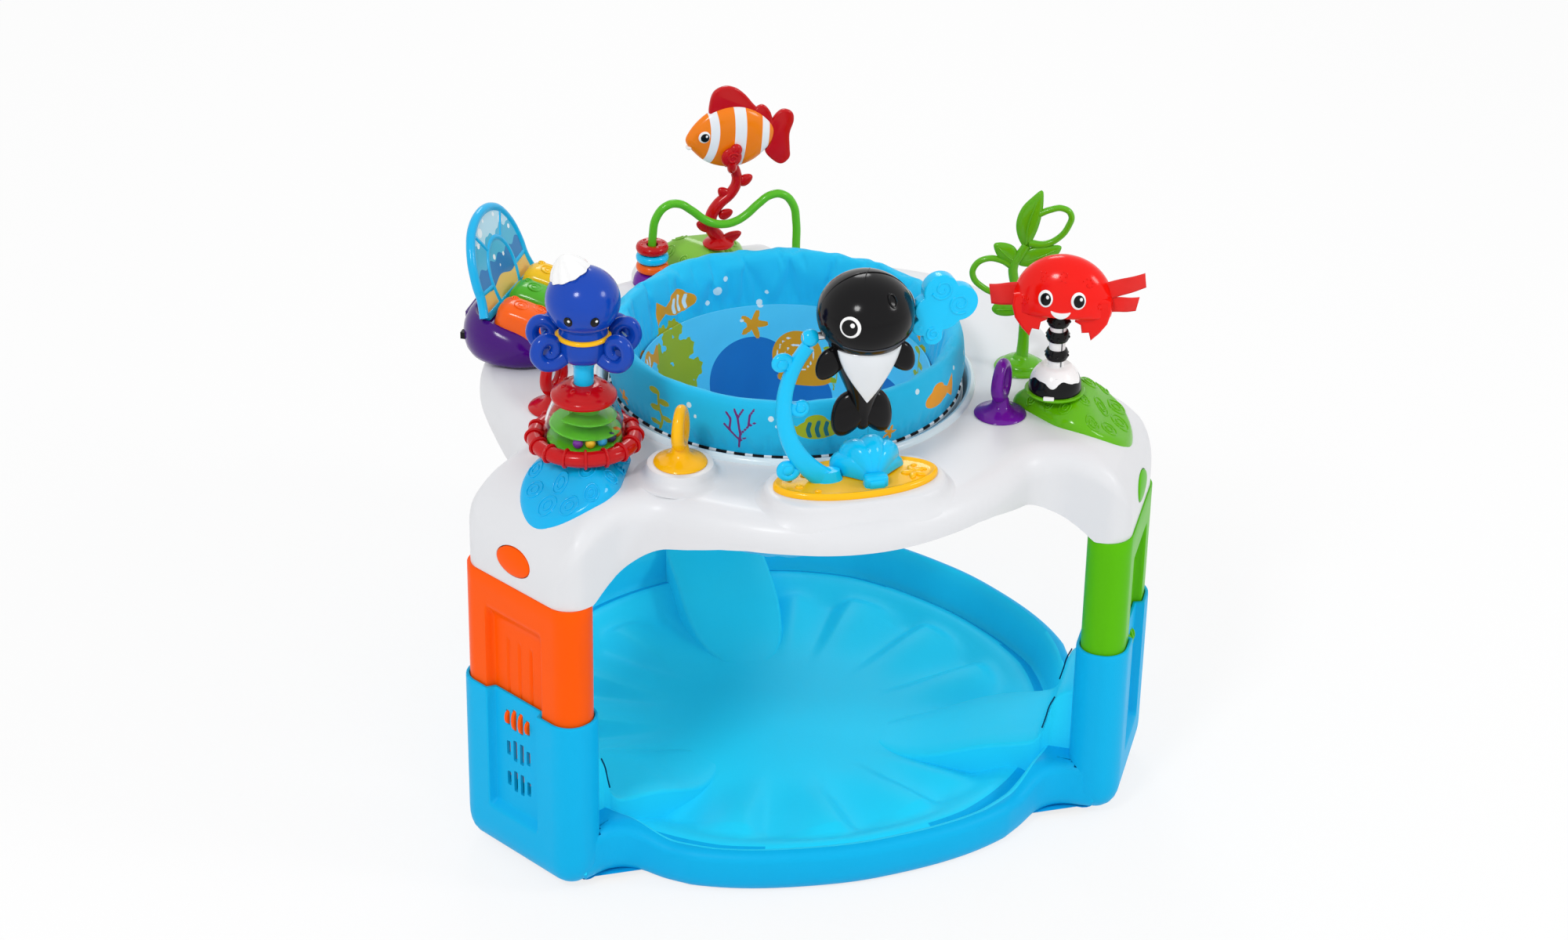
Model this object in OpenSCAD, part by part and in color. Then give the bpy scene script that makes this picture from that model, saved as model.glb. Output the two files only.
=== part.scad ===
// Stationary baby activity jumper: three-legged base, toy tray and a turning, bouncing fabric seat.
// The frame has +Z up, its origin on the floor under the seat's centre, and -Y towards the front.

/* [Base] */
// Outer radius of the dish curb
base_r = 311; // [290:1:340]
// Height of the dish curb
curb_h = 48; // [40:1:60]
// Height of the taller curb at the back
back_curb_h = 72; // [60:1:80]
// Thickness of the standing floor
floor_t = 12; // [8:1:16]
// Height of the three leg towers
tower_top = 203; // [190:1:230]
// Wall of a leg tower
tower_wall = 4; // [3:0.5:6]

/* [Legs] */
// Distance from the centre to a leg's middle
leg_at = 361.5; // [350:0.5:380]
// Leg size along the radius
leg_depth = 47; // [42:1:56]
// Leg width across the radius
leg_width = 162; // [140:1:180]
// Corner radius of a leg
leg_corner = 22; // [16:1:23]
// Wall of a leg
leg_wall = 4; // [3:0.5:6]
// Running gap between a leg and its tower
socket_gap = 0.5; // [0.3:0.1:1]
// Depth of the thumb recess in a leg's outer face
recess_depth = 9; // [6:1:12]
// Width of the thumb recess
recess_width = 80; // [70:1:90]
// Drop between two height settings
height_step = 37; // [30:1:40]

/* [Tray] */
// Height of the tray deck
tray_z = 436; // [420:1:460]
// Depth of the tray skirt
skirt_h = 36; // [30:1:45]
// Radius of the tray between its lobes
deck_r = 300; // [290:1:310]
// Radius of a toy lobe's end
lobe_r = 160; // [150:1:170]
// Distance from the centre to a toy lobe's middle
lobe_at = 165; // [155:1:172]
// Wall of the tray
tray_wall = 4; // [3:0.5:5]
// Height at which the tray sits on the legs
leg_seam = 335; // [320:1:345]
// Rounding of a shoulder over its leg
shoulder_round = 80; // [70:1:90]

/* [Seat] */
// Inner radius of the seat well in the tray
well_r = 190; // [186:1:196]
// Radius of the hole that the seat hangs through
seat_hole_r = 150; // [145:1:155]
// Depth of the seat well's ledge below the deck
well_depth = 52; // [48:1:54]
// Free height of a bounce spring
spring_h = 32; // [28:1:36]
// Height of the fabric collar above its ring
collar_h = 62; // [50:1:70]
// Depth of the fabric seat below its ring
sling_depth = 205; // [180:1:215]

/* [Toys] */
// Distance from the centre to a shoulder toy
toy_at = 285; // [278:1:292]
// Height of a shoulder pad's flat top above the deck
pad_rise = 25; // [20:1:30]
// Radius of the popper's red ring
ring_r = 48; // [44:1:52]
// Travel of the popper's plunger
plunger_travel = 14; // [8:1:15]
// Height of the whale's axle above the deck
axle_rise = 176; // [170:1:184]
// Radius of the whale's axle
axle_r = 4; // [3:0.5:5]
// Radius of the bead wire
wire_r = 4.8; // [4:0.2:5.4]
// Radius of the hole in a toy loop
loop_hole_r = 9; // [8:0.5:10]

/* [Hidden] */
$fn = 48;
gap = 0.3;               // clearance between pieces that touch but stay separate
side_angles = [210, 330, 90];   // left, right and back legs
lobe_angles = [270, 150, 30];   // front, left and right toy lobes
leg_in = leg_at - leg_depth/2;
leg_out = leg_at + leg_depth/2;
tower_grow = socket_gap + tower_wall;
recess_half = recess_width/2;
rows = 3;                // height settings
latch_z = tower_top - 28;
recess_low = latch_z - (rows - 1)*height_step - 39;   // where the recess in a tower ends
recess_high = leg_seam - 39;   // where the recess in a leg ends
leg_foot = tower_top - 103;    // lower end of a leg at the highest setting
neck_inset = 6;          // step from a leg to the neck inside the tray
neck_top = leg_seam + 57;
rib_at = [-15, -5, 5, 15];
rib_h = [16, 24, 24, 16];
rib_w = 4.6;
rib_slack = 0.4;         // room around a latch rib in its slot
latch_plate = 4;
latch_proud = 4.5;       // how far the ribs stand out of the tower's recess
lock_z = leg_seam + 29;
lock_w = 48;
lock_h = 30;
skirt_z = tray_z - skirt_h;
shoulder_out = leg_out - 2;
shoulder_half = leg_width/2 - 2;
shoulder_mid = shoulder_out - shoulder_round;
ledge_z = tray_z - well_depth;
carrier_z = ledge_z + spring_h;
carrier_t = 12;
ring_z = carrier_z + carrier_t + gap;
ring_t = 8;
fabric_z = ring_z + ring_t;
pad_z = tray_z + pad_rise;
popper = [toy_at, 210];
axle_z = tray_z + axle_rise;
whale_x = 5;
whale_y = -258;
bead_x = 82;
bead_y = 253;
bead_h = 11;             // height of one bead ring
bead_seat = tray_z + 14;
fish_x = 10;
fish_y = toy_at - 5;
fish_z = tray_z + 136;
piano_at = 285;
piano_angle = 150;
piano_z = tray_z + 52;

// Shared shapes

module at(angle, radius = 0, z = 0) rotate([0, 0, angle]) translate([radius, 0, z]) children();

// Rectangle with round corners, x by y, about the origin
module rounded(x, y, r) {
    square([x - 2*r, y], center = true);
    square([x, y - 2*r], center = true);
    for (sx = [-1, 1], sy = [-1, 1]) translate([sx*(x/2 - r), sy*(y/2 - r)]) circle(r);
}

// Slot with round ends, w along y and h along x
module stadium(w, h) {
    square([h, w - h], center = true);
    for (s = [-1, 1]) translate([0, s*(w - h)/2]) circle(h/2);
}

// Plate in the radius-height plane of a leg, t thick, from a flat shape drawn as (radius, height)
module upright(t) rotate([90, 0, 0]) linear_extrude(t, center = true) children();

// Straight bar between two points
module bar(a, b, r) {
    d = b - a;
    translate(a) rotate([0, acos(d[2]/norm(d)), atan2(d[1], d[0])]) cylinder(r = r, h = norm(d));
}

function smooth(p, i, t) = let (n = len(p),
    a = p[max(i - 1, 0)], b = p[i], c = p[min(i + 1, n - 1)], d = p[min(i + 2, n - 1)])
    0.5*((2*b) + (c - a)*t + (2*a - 5*b + 4*c - d)*t*t + (3*b - a - 3*c + d)*t*t*t);
function smooth_path(p, steps) = [for (i = [0:len(p) - 2], s = [0:steps - 1]) smooth(p, i, s/steps),
    p[len(p) - 1]];
function unit(v) = v/norm(v);
function tangent(p, i) = unit(p[min(i + 1, len(p) - 1)] - p[max(i - 1, 0)]);

// Round tube along points that lie in a plane with the given normal
module tube(path, r, sides, normal) {
    n = len(path);
    points = [for (i = [0:n - 1]) let (side = cross(normal, tangent(path, i)))
        for (k = [0:sides - 1]) path[i] + r*(cos(360*k/sides)*normal + sin(360*k/sides)*side)];
    walls = [for (i = [0:n - 2], k = [0:sides - 1]) let (a = i*sides + k, b = i*sides + (k + 1)%sides)
        each [[a, b, a + sides], [b, b + sides, a + sides]]];
    ends = [for (k = [1:sides - 2])
        each [[0, k + 1, k], [(n - 1)*sides, (n - 1)*sides + k, (n - 1)*sides + k + 1]]];
    polyhedron(points, [for (f = concat(walls, ends)) [f[0], f[2], f[1]]]);
}

// Closed ring of cloth: each angle repeats a loop of (radius, height, fold) points
module cloth_ring(loop, steps, folds) {
    m = len(loop);
    points = [for (i = [0:steps - 1], p = loop) let (a = 360*i/steps, r = p[0] + p[2]*cos(folds*a))
        [r*cos(a), r*sin(a), p[1]]];
    faces = [for (i = [0:steps - 1], k = [0:m - 1]) let (j = (i + 1)%steps, l = (k + 1)%m,
        a = i*m + k, b = j*m + k, c = j*m + l, d = i*m + l) each [[a, b, c], [a, c, d]]];
    polyhedron(points, [for (f = faces) [f[0], f[2], f[1]]]);
}

// Base

// Section of a leg, larger by grow all round
module leg_outline(grow) translate([leg_at, 0]) difference() {
    rounded(leg_depth + 2*grow, leg_width + 2*grow, leg_corner + grow);
    translate([leg_depth/2 - recess_depth + grow, -recess_half + grow])
        square([2*recess_depth, recess_width - 2*grow]);
}

module leg_block(grow)
    translate([leg_at, 0]) rounded(leg_depth + 2*grow, leg_width + 2*grow, leg_corner + grow);

module rib_slots(z, from, to) for (i = [0:len(rib_at) - 1])
    translate([from, rib_at[i] - rib_w/2 - rib_slack, z - rib_h[i]/2 - rib_slack])
        cube([to - from, rib_w + 2*rib_slack, rib_h[i] + 2*rib_slack]);

dish_wall = 6;
dish_flat = base_r - 75;
lip_r = base_r - 39;
dish_profile = [[0, 0], [dish_flat + 2, 0], [dish_flat + 2, floor_t - 4], [lip_r - 10, curb_h - 26],
    [lip_r, curb_h - 22], [lip_r + 10, curb_h - 26], [lip_r + 18, curb_h - 10],
        [lip_r + 26, curb_h - dish_wall],
    [base_r - dish_wall, curb_h - 12], [base_r - dish_wall, 0], [base_r, 0], [base_r, curb_h - 7],
    [base_r - 5, curb_h], [base_r - 15, curb_h], [base_r - 23, curb_h - 4], [base_r - 31, curb_h - 19],
    [lip_r, curb_h - 15], [lip_r - 10, curb_h - 18], [dish_flat, floor_t + 2], [dish_flat - 80, floor_t],
        [0, floor_t]];
// Taller curb round the back two thirds, between the front legs
back_curb = [[base_r - 16, curb_h - 8], [base_r, curb_h - 8], [base_r, back_curb_h - 5], [base_r - 4, back_curb_h],
    [base_r - 12, back_curb_h], [base_r - 16, back_curb_h - 4]];
neck_h = 62;
neck_from = base_r - 31;
ramp_top = 135;
ramp_half = 55;
ramp_wall = 5;
ramp_from = base_r - 190;
tower_in = leg_in - tower_grow;
// Ramp's back from the tower down: a short block, a steep step and a long tail
ramp_line = [[tower_in - 10, ramp_top - 2], [tower_in - 22, ramp_top - 14], [tower_in - 28, ramp_top - 40],
    [tower_in - 36, ramp_top - 66], [tower_in - 60, ramp_top - 74], [tower_in - 110, ramp_top - 88],
    [tower_in - 158, ramp_top - 109]];

module ramp_shape(inset)
    polygon(concat([[ramp_from + 3*inset, floor_t - 2 - inset*3],
        [tower_in + 2 - inset, floor_t - 2 - inset*3], [tower_in + 2 - inset, ramp_top - inset]],
        [for (p = ramp_line) [p[0] + inset, p[1] - inset]]));

module base() color("deepskyblue") difference() {
    union() {
        rotate_extrude() polygon(dish_profile);
        rotate([0, 0, -30]) rotate_extrude(angle = 240) polygon(back_curb);
        for (a = side_angles) at(a) {
            linear_extrude(tower_top) leg_outline(tower_grow);
            linear_extrude(recess_low) leg_block(tower_grow);
            translate([neck_from, -leg_width/2, 0]) cube([leg_in - neck_from, leg_width, neck_h]);
            upright(2*ramp_half) ramp_shape(0);
        }
    }
    for (a = side_angles) at(a) {
        translate([0, 0, floor_t]) linear_extrude(tower_top) leg_outline(socket_gap);
        translate([0, 0, floor_t]) linear_extrude(recess_low - floor_t - tower_wall)
            leg_block(socket_gap);
        for (row = [0:rows - 1])
            rib_slots(latch_z - row*height_step, leg_out - recess_depth - 1, leg_out);
        translate([base_r + 2, -leg_width/2 + dish_wall, -1])
            cube([tower_in - base_r - 4, leg_width - 2*dish_wall, neck_h - dish_wall + 1]);
        upright(2*ramp_half - 2*ramp_wall) ramp_shape(ramp_wall);
    }
}

// Legs and their catches

module leg(name_colour) color(name_colour) difference() {
    union() {
        translate([0, 0, leg_foot]) linear_extrude(recess_high - leg_foot) leg_outline(0);
        translate([0, 0, recess_high]) linear_extrude(leg_seam - recess_high) leg_block(0);
        intersection() {
            translate([0, 0, leg_seam]) linear_extrude(neck_top - leg_seam) leg_block(-neck_inset);
            shoulder(tray_wall + gap);
        }
    }
    translate([0, 0, leg_foot - 1]) linear_extrude(recess_high - leg_foot - leg_wall)
        leg_outline(-leg_wall);
    translate([0, 0, recess_high - leg_wall - 2]) linear_extrude(leg_seam - recess_high)
        leg_block(-leg_wall);
    intersection() {
        translate([0, 0, leg_seam - 2*leg_wall]) linear_extrude(neck_top - leg_seam + leg_wall)
            leg_block(-neck_inset - leg_wall);
        shoulder(tray_wall + gap + leg_wall);
    }
    translate([0, 0, leg_seam - 2*leg_wall]) linear_extrude(2*leg_wall + 1)
        leg_block(-neck_inset - leg_wall);
    rib_slots(latch_z, leg_out - recess_depth - leg_wall - 1, leg_out);
    translate([leg_out - neck_inset - 15, 0, lock_z]) rotate([0, 90, 0]) linear_extrude(30)
        stadium(lock_w + 2, lock_h + 2);
}

// Spring catch inside a leg: its ribs come out through the tower's slots
module latch(name_colour) color(name_colour) {
    plate_x = leg_out - recess_depth - leg_wall - latch_plate - gap;
    rib_end = leg_out - recess_depth + tower_grow + latch_proud;
    translate([plate_x, -24, latch_z - 17]) cube([latch_plate, 48, 34]);
    for (i = [0:len(rib_at) - 1]) translate([plate_x + latch_plate/2, rib_at[i], latch_z]) {
        translate([0, -rib_w/2, -rib_h[i]/2]) cube([rib_end - plate_x - 4, rib_w, rib_h[i]]);
        translate([rib_end - plate_x - 4 - latch_plate/2, 0, 0])
            upright(rib_w) intersection() {
                translate([0, -rib_h[i]/2]) square([6, rib_h[i]]);
                translate([6 - rib_h[i], 0]) circle(rib_h[i]);
            }
    }
}

// Oval button on a leg's neck that snaps out through the tray's shoulder
button_flange = 3;
button_proud = 0.6;
module lock_button(name_colour) color(name_colour) {
    root = leg_out - neck_inset - leg_wall - 2*gap;
    translate([root, 0, lock_z]) rotate([0, 90, 0]) linear_extrude(shoulder_out - root + button_proud)
        stadium(lock_w, lock_h);
    translate([root - button_flange, -lock_w/2 - 5, leg_seam + 8]) cube([button_flange, lock_w + 10, 13]);
    translate([root - button_flange, -lock_w/2 + 10, lock_z - lock_h/2 + 2])
        cube([button_flange + 1, lock_w - 20, lock_h/2]);
}

// Tray

module deck_outline(inset) {
    circle(deck_r - inset, $fn = 96);
    for (a = lobe_angles) at(a, lobe_at) circle(lobe_r - inset, $fn = 96);
}

// Side view of a shoulder: a flat top that rounds over the leg
module shoulder_shape(inset) {
    translate([200, skirt_z - inset]) square([shoulder_mid - 200, skirt_h]);
    translate([shoulder_mid - 1, skirt_z - inset]) square([1 + leg_in - shoulder_mid + 12, 20]);
    intersection() {
        translate([shoulder_mid, tray_z - shoulder_round]) circle(shoulder_round - inset, $fn = 96);
        translate([shoulder_mid - 1, tray_z - shoulder_round]) square(shoulder_round + 1);
    }
    translate([leg_in + 2 + inset, leg_seam - inset])
        square([shoulder_out - leg_in - 2 - 2*inset, tray_z - shoulder_round - leg_seam + 2*inset]);
}

module shoulder(inset) intersection() {
    upright(2*shoulder_half - 2*inset) shoulder_shape(inset);
    translate([0, 0, leg_seam - 10]) linear_extrude(200) union() {
        translate([200, -shoulder_half + inset])
            square([shoulder_out - leg_corner - 200, 2*shoulder_half - 2*inset]);
        translate([leg_at, 0])
            rounded(2*(shoulder_out - leg_at) - 2*inset, 2*shoulder_half - 2*inset,
                leg_corner - 2 - inset/2);
    }
}

module tray_body(inset) {
    translate([0, 0, skirt_z - inset]) linear_extrude(skirt_h) deck_outline(inset);
    for (a = side_angles) at(a) shoulder(inset);
}

boss_r = 34;
boss_h = 14;
plate_l = 168;
plate_w = 84;
plate_t = 9;
stage_h = 5;
peg_r = 6;
peg_l = 14;
yellow_at = [242, 229];
purple_at = [234, 325];
red_at = [250, 183];
weed_at = [249, 351];
bead_feet = [[-bead_x, bead_y], [bead_x, bead_y]];

module deck_pegs(grow) {
    for (p = [yellow_at, purple_at, red_at, weed_at]) at(p[1], p[0], tray_z - peg_l)
        cylinder(r = peg_r + grow, h = 40);
    for (p = bead_feet) translate([p[0], p[1], tray_z - peg_l]) cylinder(r = peg_r + grow, h = 40);
    for (x = [-50, 50]) translate([x, whale_y, tray_z - peg_l]) cylinder(r = peg_r + grow, h = 40);
    for (y = [-50, 50]) at(piano_angle, piano_at, tray_z - peg_l) translate([0, y, 0])
        cylinder(r = peg_r + grow, h = 40);
    for (a = side_angles) at(a, toy_at - 20, tray_z - peg_l) cylinder(r = peg_r + grow, h = 40);
}

rim_w = 8;
rim_h = 6;

module tray() color("whitesmoke") difference() {
    union() {
        difference() {
            tray_body(0);
            tray_body(tray_wall);
        }
        translate([0, 0, ledge_z - tray_wall])
            cylinder(r = well_r + tray_wall, h = well_depth + tray_wall, $fn = 96);
        translate([0, 0, tray_z]) cylinder(r = well_r + rim_w, h = rim_h, $fn = 96);
        at(yellow_at[1], yellow_at[0], tray_z - 1) cylinder(r1 = boss_r + 6, r2 = boss_r, h = boss_h + 1);
        translate([0, whale_y, tray_z - 1]) rotate([0, 0, 90]) linear_extrude(stage_h + 1)
            stadium(plate_l + 16, plate_w + 8);
    }
    translate([0, 0, ledge_z]) cylinder(r = well_r, h = 200, $fn = 96);
    translate([0, 0, ledge_z - 50]) cylinder(r = seat_hole_r, h = 200, $fn = 96);
    deck_pegs(gap);
    for (a = side_angles) at(a) translate([shoulder_out, 0, lock_z]) rotate([0, 90, 0])
        linear_extrude(6*tray_wall, center = true) stadium(lock_w + 1, lock_h + 1);
}

// Coloured egg-shaped pad snapped over a shoulder, a little to one side of its toy
pad_from = 240;
pad_to = 367;
pad_big = 51;
pad_small = 14;
pad_shift = 14;
pad_lean = acos((pad_big - pad_small)/(pad_to - pad_big - pad_from - pad_small));
module pad_outline() {
    ends = [[pad_to - pad_big, pad_big], [pad_from + pad_small, pad_small]];
    translate([0, pad_shift]) {
        for (e = ends) translate([e[0], 0]) circle(e[1]);
        polygon([for (side = [-1, 1], i = [0, 1]) let (e = ends[side > 0 ? 1 - i : i])
            [e[0] - e[1]*cos(pad_lean), side*e[1]*sin(pad_lean)]]);
    }
}
module pad(name_colour) color(name_colour) {
    difference() {
        intersection() {
            upright(300) polygon([[pad_from - 1, tray_z - 20], [pad_from - 1, pad_z - 8],
                [pad_from + 12, pad_z],
                [toy_at + 32, pad_z], [pad_to - 22, pad_z - 14], [pad_to + 1, pad_z - 50],
                    [pad_to + 1, tray_z - 70]]);
            translate([0, 0, 300]) linear_extrude(300) pad_outline();
        }
        upright(302) {
            translate([100, 300]) square([shoulder_mid - 100, tray_z - 300]);
            intersection() {
                translate([shoulder_mid, tray_z - shoulder_round]) circle(shoulder_round + gap, $fn = 96);
                translate([shoulder_mid - 1, 200]) square(400);
            }
        }
    }
    translate([toy_at - 20, 0, tray_z - peg_l]) cylinder(r = peg_r, h = peg_l + 4);
}

// Seat

carrier_in = 156;
carrier_out = well_r - 4;
springs_at = (carrier_in + carrier_out)/2;
spring_r = 11;
spring_wire = 1.4;
spring_turns = 5;

module seat_carrier() color("white") rotate_extrude($fn = 96)
    translate([carrier_in, carrier_z]) square([carrier_out - carrier_in, carrier_t]);

function coil_point(t) = [(spring_r - spring_wire)*cos(360*t), (spring_r - spring_wire)*sin(360*t),
    spring_wire + gap/3 + (spring_h - 2*spring_wire - 2*gap/3)*t/spring_turns];
coil_steps = 8;
coil_sides = 6;
coil_path = [for (i = [0:spring_turns*coil_steps]) coil_point(i/coil_steps)];
coil_pitch = (spring_h - 2*spring_wire)/spring_turns;
echo(least_gap_in_a_spring = coil_pitch - 2*spring_wire);

// One coil spring: rings of the wire set across the helix and joined in order
module coil() {
    n = len(coil_path);
    points = [for (i = [0:n - 1]) let (out = unit([coil_path[i][0], coil_path[i][1], 0]), up = [0, 0, 1])
        for (k = [0:coil_sides - 1])
            coil_path[i] + spring_wire*(cos(360*k/coil_sides)*out + sin(360*k/coil_sides)*up)];
    walls = [for (i = [0:n - 2], k = [0:coil_sides - 1])
        let (a = i*coil_sides + k, b = i*coil_sides + (k + 1)%coil_sides)
        each [[a, b, a + coil_sides], [b, b + coil_sides, a + coil_sides]]];
    ends = [for (k = [1:coil_sides - 2]) each [[0, k + 1, k],
        [(n - 1)*coil_sides, (n - 1)*coil_sides + k, (n - 1)*coil_sides + k + 1]]];
    polyhedron(points, [for (f = concat(walls, ends)) [f[0], f[1], f[2]]]);
}

module bounce_springs() color("silver") for (a = lobe_angles) at(a, springs_at, ledge_z) coil();

ring_hub_in = seat_hole_r + 1;
ring_hub_out = carrier_in - 0.5;
module seat_ring() color("white") rotate_extrude($fn = 96) union() {
    translate([ring_hub_in, ring_z]) square([carrier_out - 1 - ring_hub_in, ring_t]);
    translate([ring_hub_in, carrier_z - 6]) square([ring_hub_out - ring_hub_in, ring_z - carrier_z + 7]);
}

collar_out = well_r - 8;
collar_in = seat_hole_r + 2;
collar_mid = (collar_out + collar_in)/2;
collar_top = fabric_z + collar_h;
collar_folds = 14;
collar_loop = [[collar_in, fabric_z, 0], [collar_out, fabric_z, 0],
    [collar_out + 1, fabric_z + collar_h*0.3, 0],
    [collar_out, fabric_z + collar_h*0.7, 0.6], [collar_out - 4, collar_top - 7, 0.8],
        [collar_mid + 5, collar_top - 1, 0.8],
    [collar_mid - 5, collar_top - 1, 1], [collar_in + 3, collar_top - 7, 1.5],
        [collar_in, fabric_z + collar_h*0.6, 1.5]];
module seat_collar() color("deepskyblue") cloth_ring(collar_loop, 84, collar_folds);

sling_wall = 3;
sling_top = ring_z + 3;
sling_low = fabric_z - sling_depth;
sling_r = ring_hub_in - gap;
sling_folds = 12;
sling_loop = [[sling_r, sling_top, 0], [sling_r - sling_wall, sling_top, 0],
    [sling_r - 14, sling_top - 90, 2],
    [sling_r - 34, sling_top - 140, 1.5], [84, sling_low + 14, 0], [6, sling_low + sling_wall + 1, 0],
    [6, sling_low, 0], [88, sling_low + 10, 0], [sling_r - 28, sling_top - 142, 1.5],
        [sling_r - 10, sling_top - 90, 2]];
thigh_r = 50;
module seat_sling() color("deepskyblue") difference() {
    union() {
        cloth_ring([for (i = [len(sling_loop) - 1:-1:0]) sling_loop[i]], 60, sling_folds);
        translate([0, 0, sling_low + 1]) cylinder(r = 9, h = 4);
    }
    for (s = [-1, 1]) translate([s*50, -20, sling_low + 10]) rotate([0, s*62, 0])
        cylinder(r = thigh_r, h = 140);
}

// Toy loops

loop_base_r = 26;
loop_tube = 12;
loop_rise = 38;
module toy_loop(name_colour, place, z, turn) color(name_colour) at(place[1], place[0], z) {
    rotate_extrude() polygon([[0, -peg_l], [peg_r, -peg_l], [peg_r, 0], [loop_base_r, 0],
        [loop_base_r, 2], [12, 8], [8, 14], [7, 20], [0, 20]]);
    translate([0, 0, loop_rise]) rotate([0, 0, turn - place[1]]) rotate([0, 90, 0]) difference() {
        cylinder(r = loop_hole_r + loop_tube, h = loop_tube, center = true);
        cylinder(r = loop_hole_r, h = loop_tube + 2, center = true);
    }
}

// Popper with the octopus

drum_z = pad_z;
drum_floor = 5;
drum_r = ring_r - 3;
dome_low = drum_z + drum_floor;
dome_top = dome_low + 46;
dome_wall = 2;
cap_r = 33;
cap_t = 18;
post_r = 10;
rod_r = 4;
core_top = dome_top - plunger_travel - 11;
module at_popper() at(popper[1], popper[0]) children();

module drum_base() color("crimson") at_popper() {
    translate([0, 0, drum_z]) cylinder(r = drum_r, h = drum_floor);
    translate([0, 0, drum_z + 9 + gap]) rotate_extrude() translate([ring_r, 0]) circle(9);
}

module drum_dome() color("lightcyan", 0.4) at_popper() rotate_extrude()
    polygon([[drum_r - 7, dome_low], [drum_r - 7, dome_low + 10],
    [drum_r - 7 - 3, dome_low + 26], [29, dome_top - 2], [27, dome_top], [27 - dome_wall, dome_top],
        [27 - dome_wall, dome_top - 2],
    [drum_r - 12, dome_low + 25], [drum_r - 9, dome_low + 10], [drum_r - 9, dome_low]]);

module drum_cap() color("red") at_popper() rotate_extrude()
    polygon([[post_r + gap, dome_top], [cap_r - 4, dome_top], [cap_r, dome_top + 6],
    [cap_r - 2, dome_top + 11], [24, dome_top + cap_t - 1], [post_r + gap, dome_top + cap_t]]);

spiral_turns = 2;
spiral_steps = 24;
spiral_rise = 20;
core_r = 15;
cup_r = post_r + 3;
function spiral_r(t) = 24 + 8*t;
// Ramp of one sheet that widens as it winds down around the core
module drum_spiral() color("limegreen") at_popper() {
    n = spiral_turns*spiral_steps;
    z_top = dome_low + 36;
    sheet = 2;
    droop = 3;
    root = core_r - 1;
    points = [for (i = [0:n])
        let (t = i/n, a = 360*spiral_turns*t, z = z_top - spiral_rise*t, r = spiral_r(t))
        each [[root*cos(a), root*sin(a), z], [r*cos(a), r*sin(a), z - droop],
            [r*cos(a), r*sin(a), z - droop - sheet], [root*cos(a), root*sin(a), z - sheet]]];
    walls = [for (i = [0:n - 1], k = [0:3]) let (a = 4*i + k, b = 4*i + (k + 1)%4)
        each [[a, b, a + 4], [b, b + 4, a + 4]]];
    ends = [[0, 2, 1], [0, 3, 2], [4*n, 4*n + 1, 4*n + 2], [4*n, 4*n + 2, 4*n + 3]];
    polyhedron(points, [for (f = concat(walls, ends)) [f[0], f[2], f[1]]]);
    difference() {
        translate([0, 0, dome_low + gap]) cylinder(r = core_r, h = z_top - dome_low + 2);
        translate([0, 0, dome_low - 1]) cylinder(r = rod_r + gap, h = 60);
        translate([0, 0, core_top]) cylinder(r = cup_r, h = 60);
    }
}

bead_ball = 4.5;
module drum_beads() color("gold") at_popper() for (i = [0:4]) rotate([0, 0, 20 + 34*i])
    translate([drum_r - 16, 0, dome_low + bead_ball]) sphere(bead_ball);

body_low = dome_top + cap_t + 26;
module plunger() color("skyblue") at_popper() {
    translate([0, 0, dome_top - 7]) cylinder(r = post_r + 2, h = 6.5);
    translate([0, 0, dome_top - 2]) cylinder(r = post_r, h = body_low - dome_top + 2);
    translate([0, 0, core_top - 5]) cylinder(r = rod_r, h = dome_top - core_top);
}

head_r = 36;
module octopus_body() color("mediumblue") at_popper() {
    translate([0, 0, body_low])
        rotate_extrude() polygon([[0, 0], [18, 0], [25, 6], [27, 16], [26, 34], [0, 34]]);
    translate([0, 0, body_low + 62]) sphere(head_r);
    for (s = [0:5]) rotate([0, 0, 60*s + 46]) translate([36, 0, body_low + 14]) rotate([90, 0, 0])
        rotate_extrude() translate([10, 0]) circle(6.5);
}

// Whale on its arm

module whale_plate() color("gold") {
    difference() {
        translate([0, whale_y, tray_z + stage_h]) rotate([0, 0, 90]) linear_extrude(plate_t)
            stadium(plate_l, plate_w - 8);
        whale_arm_shape(gap);
    }
    for (x = [-50, 50]) translate([x, whale_y, tray_z - peg_l])
        cylinder(r = peg_r, h = peg_l + stage_h + 1);
}

scallop_z = tray_z + stage_h + plate_t;
scallop_ribs = 7;
module scallop_body(grow) translate([14, whale_y, scallop_z]) intersection() {
    rotate([90, 0, 0]) cylinder(r = 38 + grow, h = 46 + 2*grow, center = true);
    translate([-60, -60, 0]) cube([120, 120, 60]);
}
module whale_scallop() color("deepskyblue") difference() {
    union() {
        scallop_body(0);
        for (i = [0:scallop_ribs - 1]) translate([14, whale_y, scallop_z])
            rotate([0, -20 - 140*i/(scallop_ribs - 1), 0])
            translate([30, 0, 0]) rotate([90, 0, 0]) cylinder(r = 9, h = 40, center = true);
    }
    translate([-100, whale_y - 100, scallop_z - 50]) cube([200, 200, 50]);
    whale_arm_shape(gap);
}

arm_mid = [26, axle_z - 74];
arm_r = 101;
arm_w = 18;
arm_t = 12;
module whale_arm_shape(grow) translate([arm_mid[0], whale_y, arm_mid[1]]) rotate([90, 0, 0])
    rotate([0, 0, 137]) rotate_extrude(angle = 101, $fn = 96) translate([arm_r, 0])
        square([arm_w + 2*grow, arm_t + 2*grow], center = true);

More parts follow.
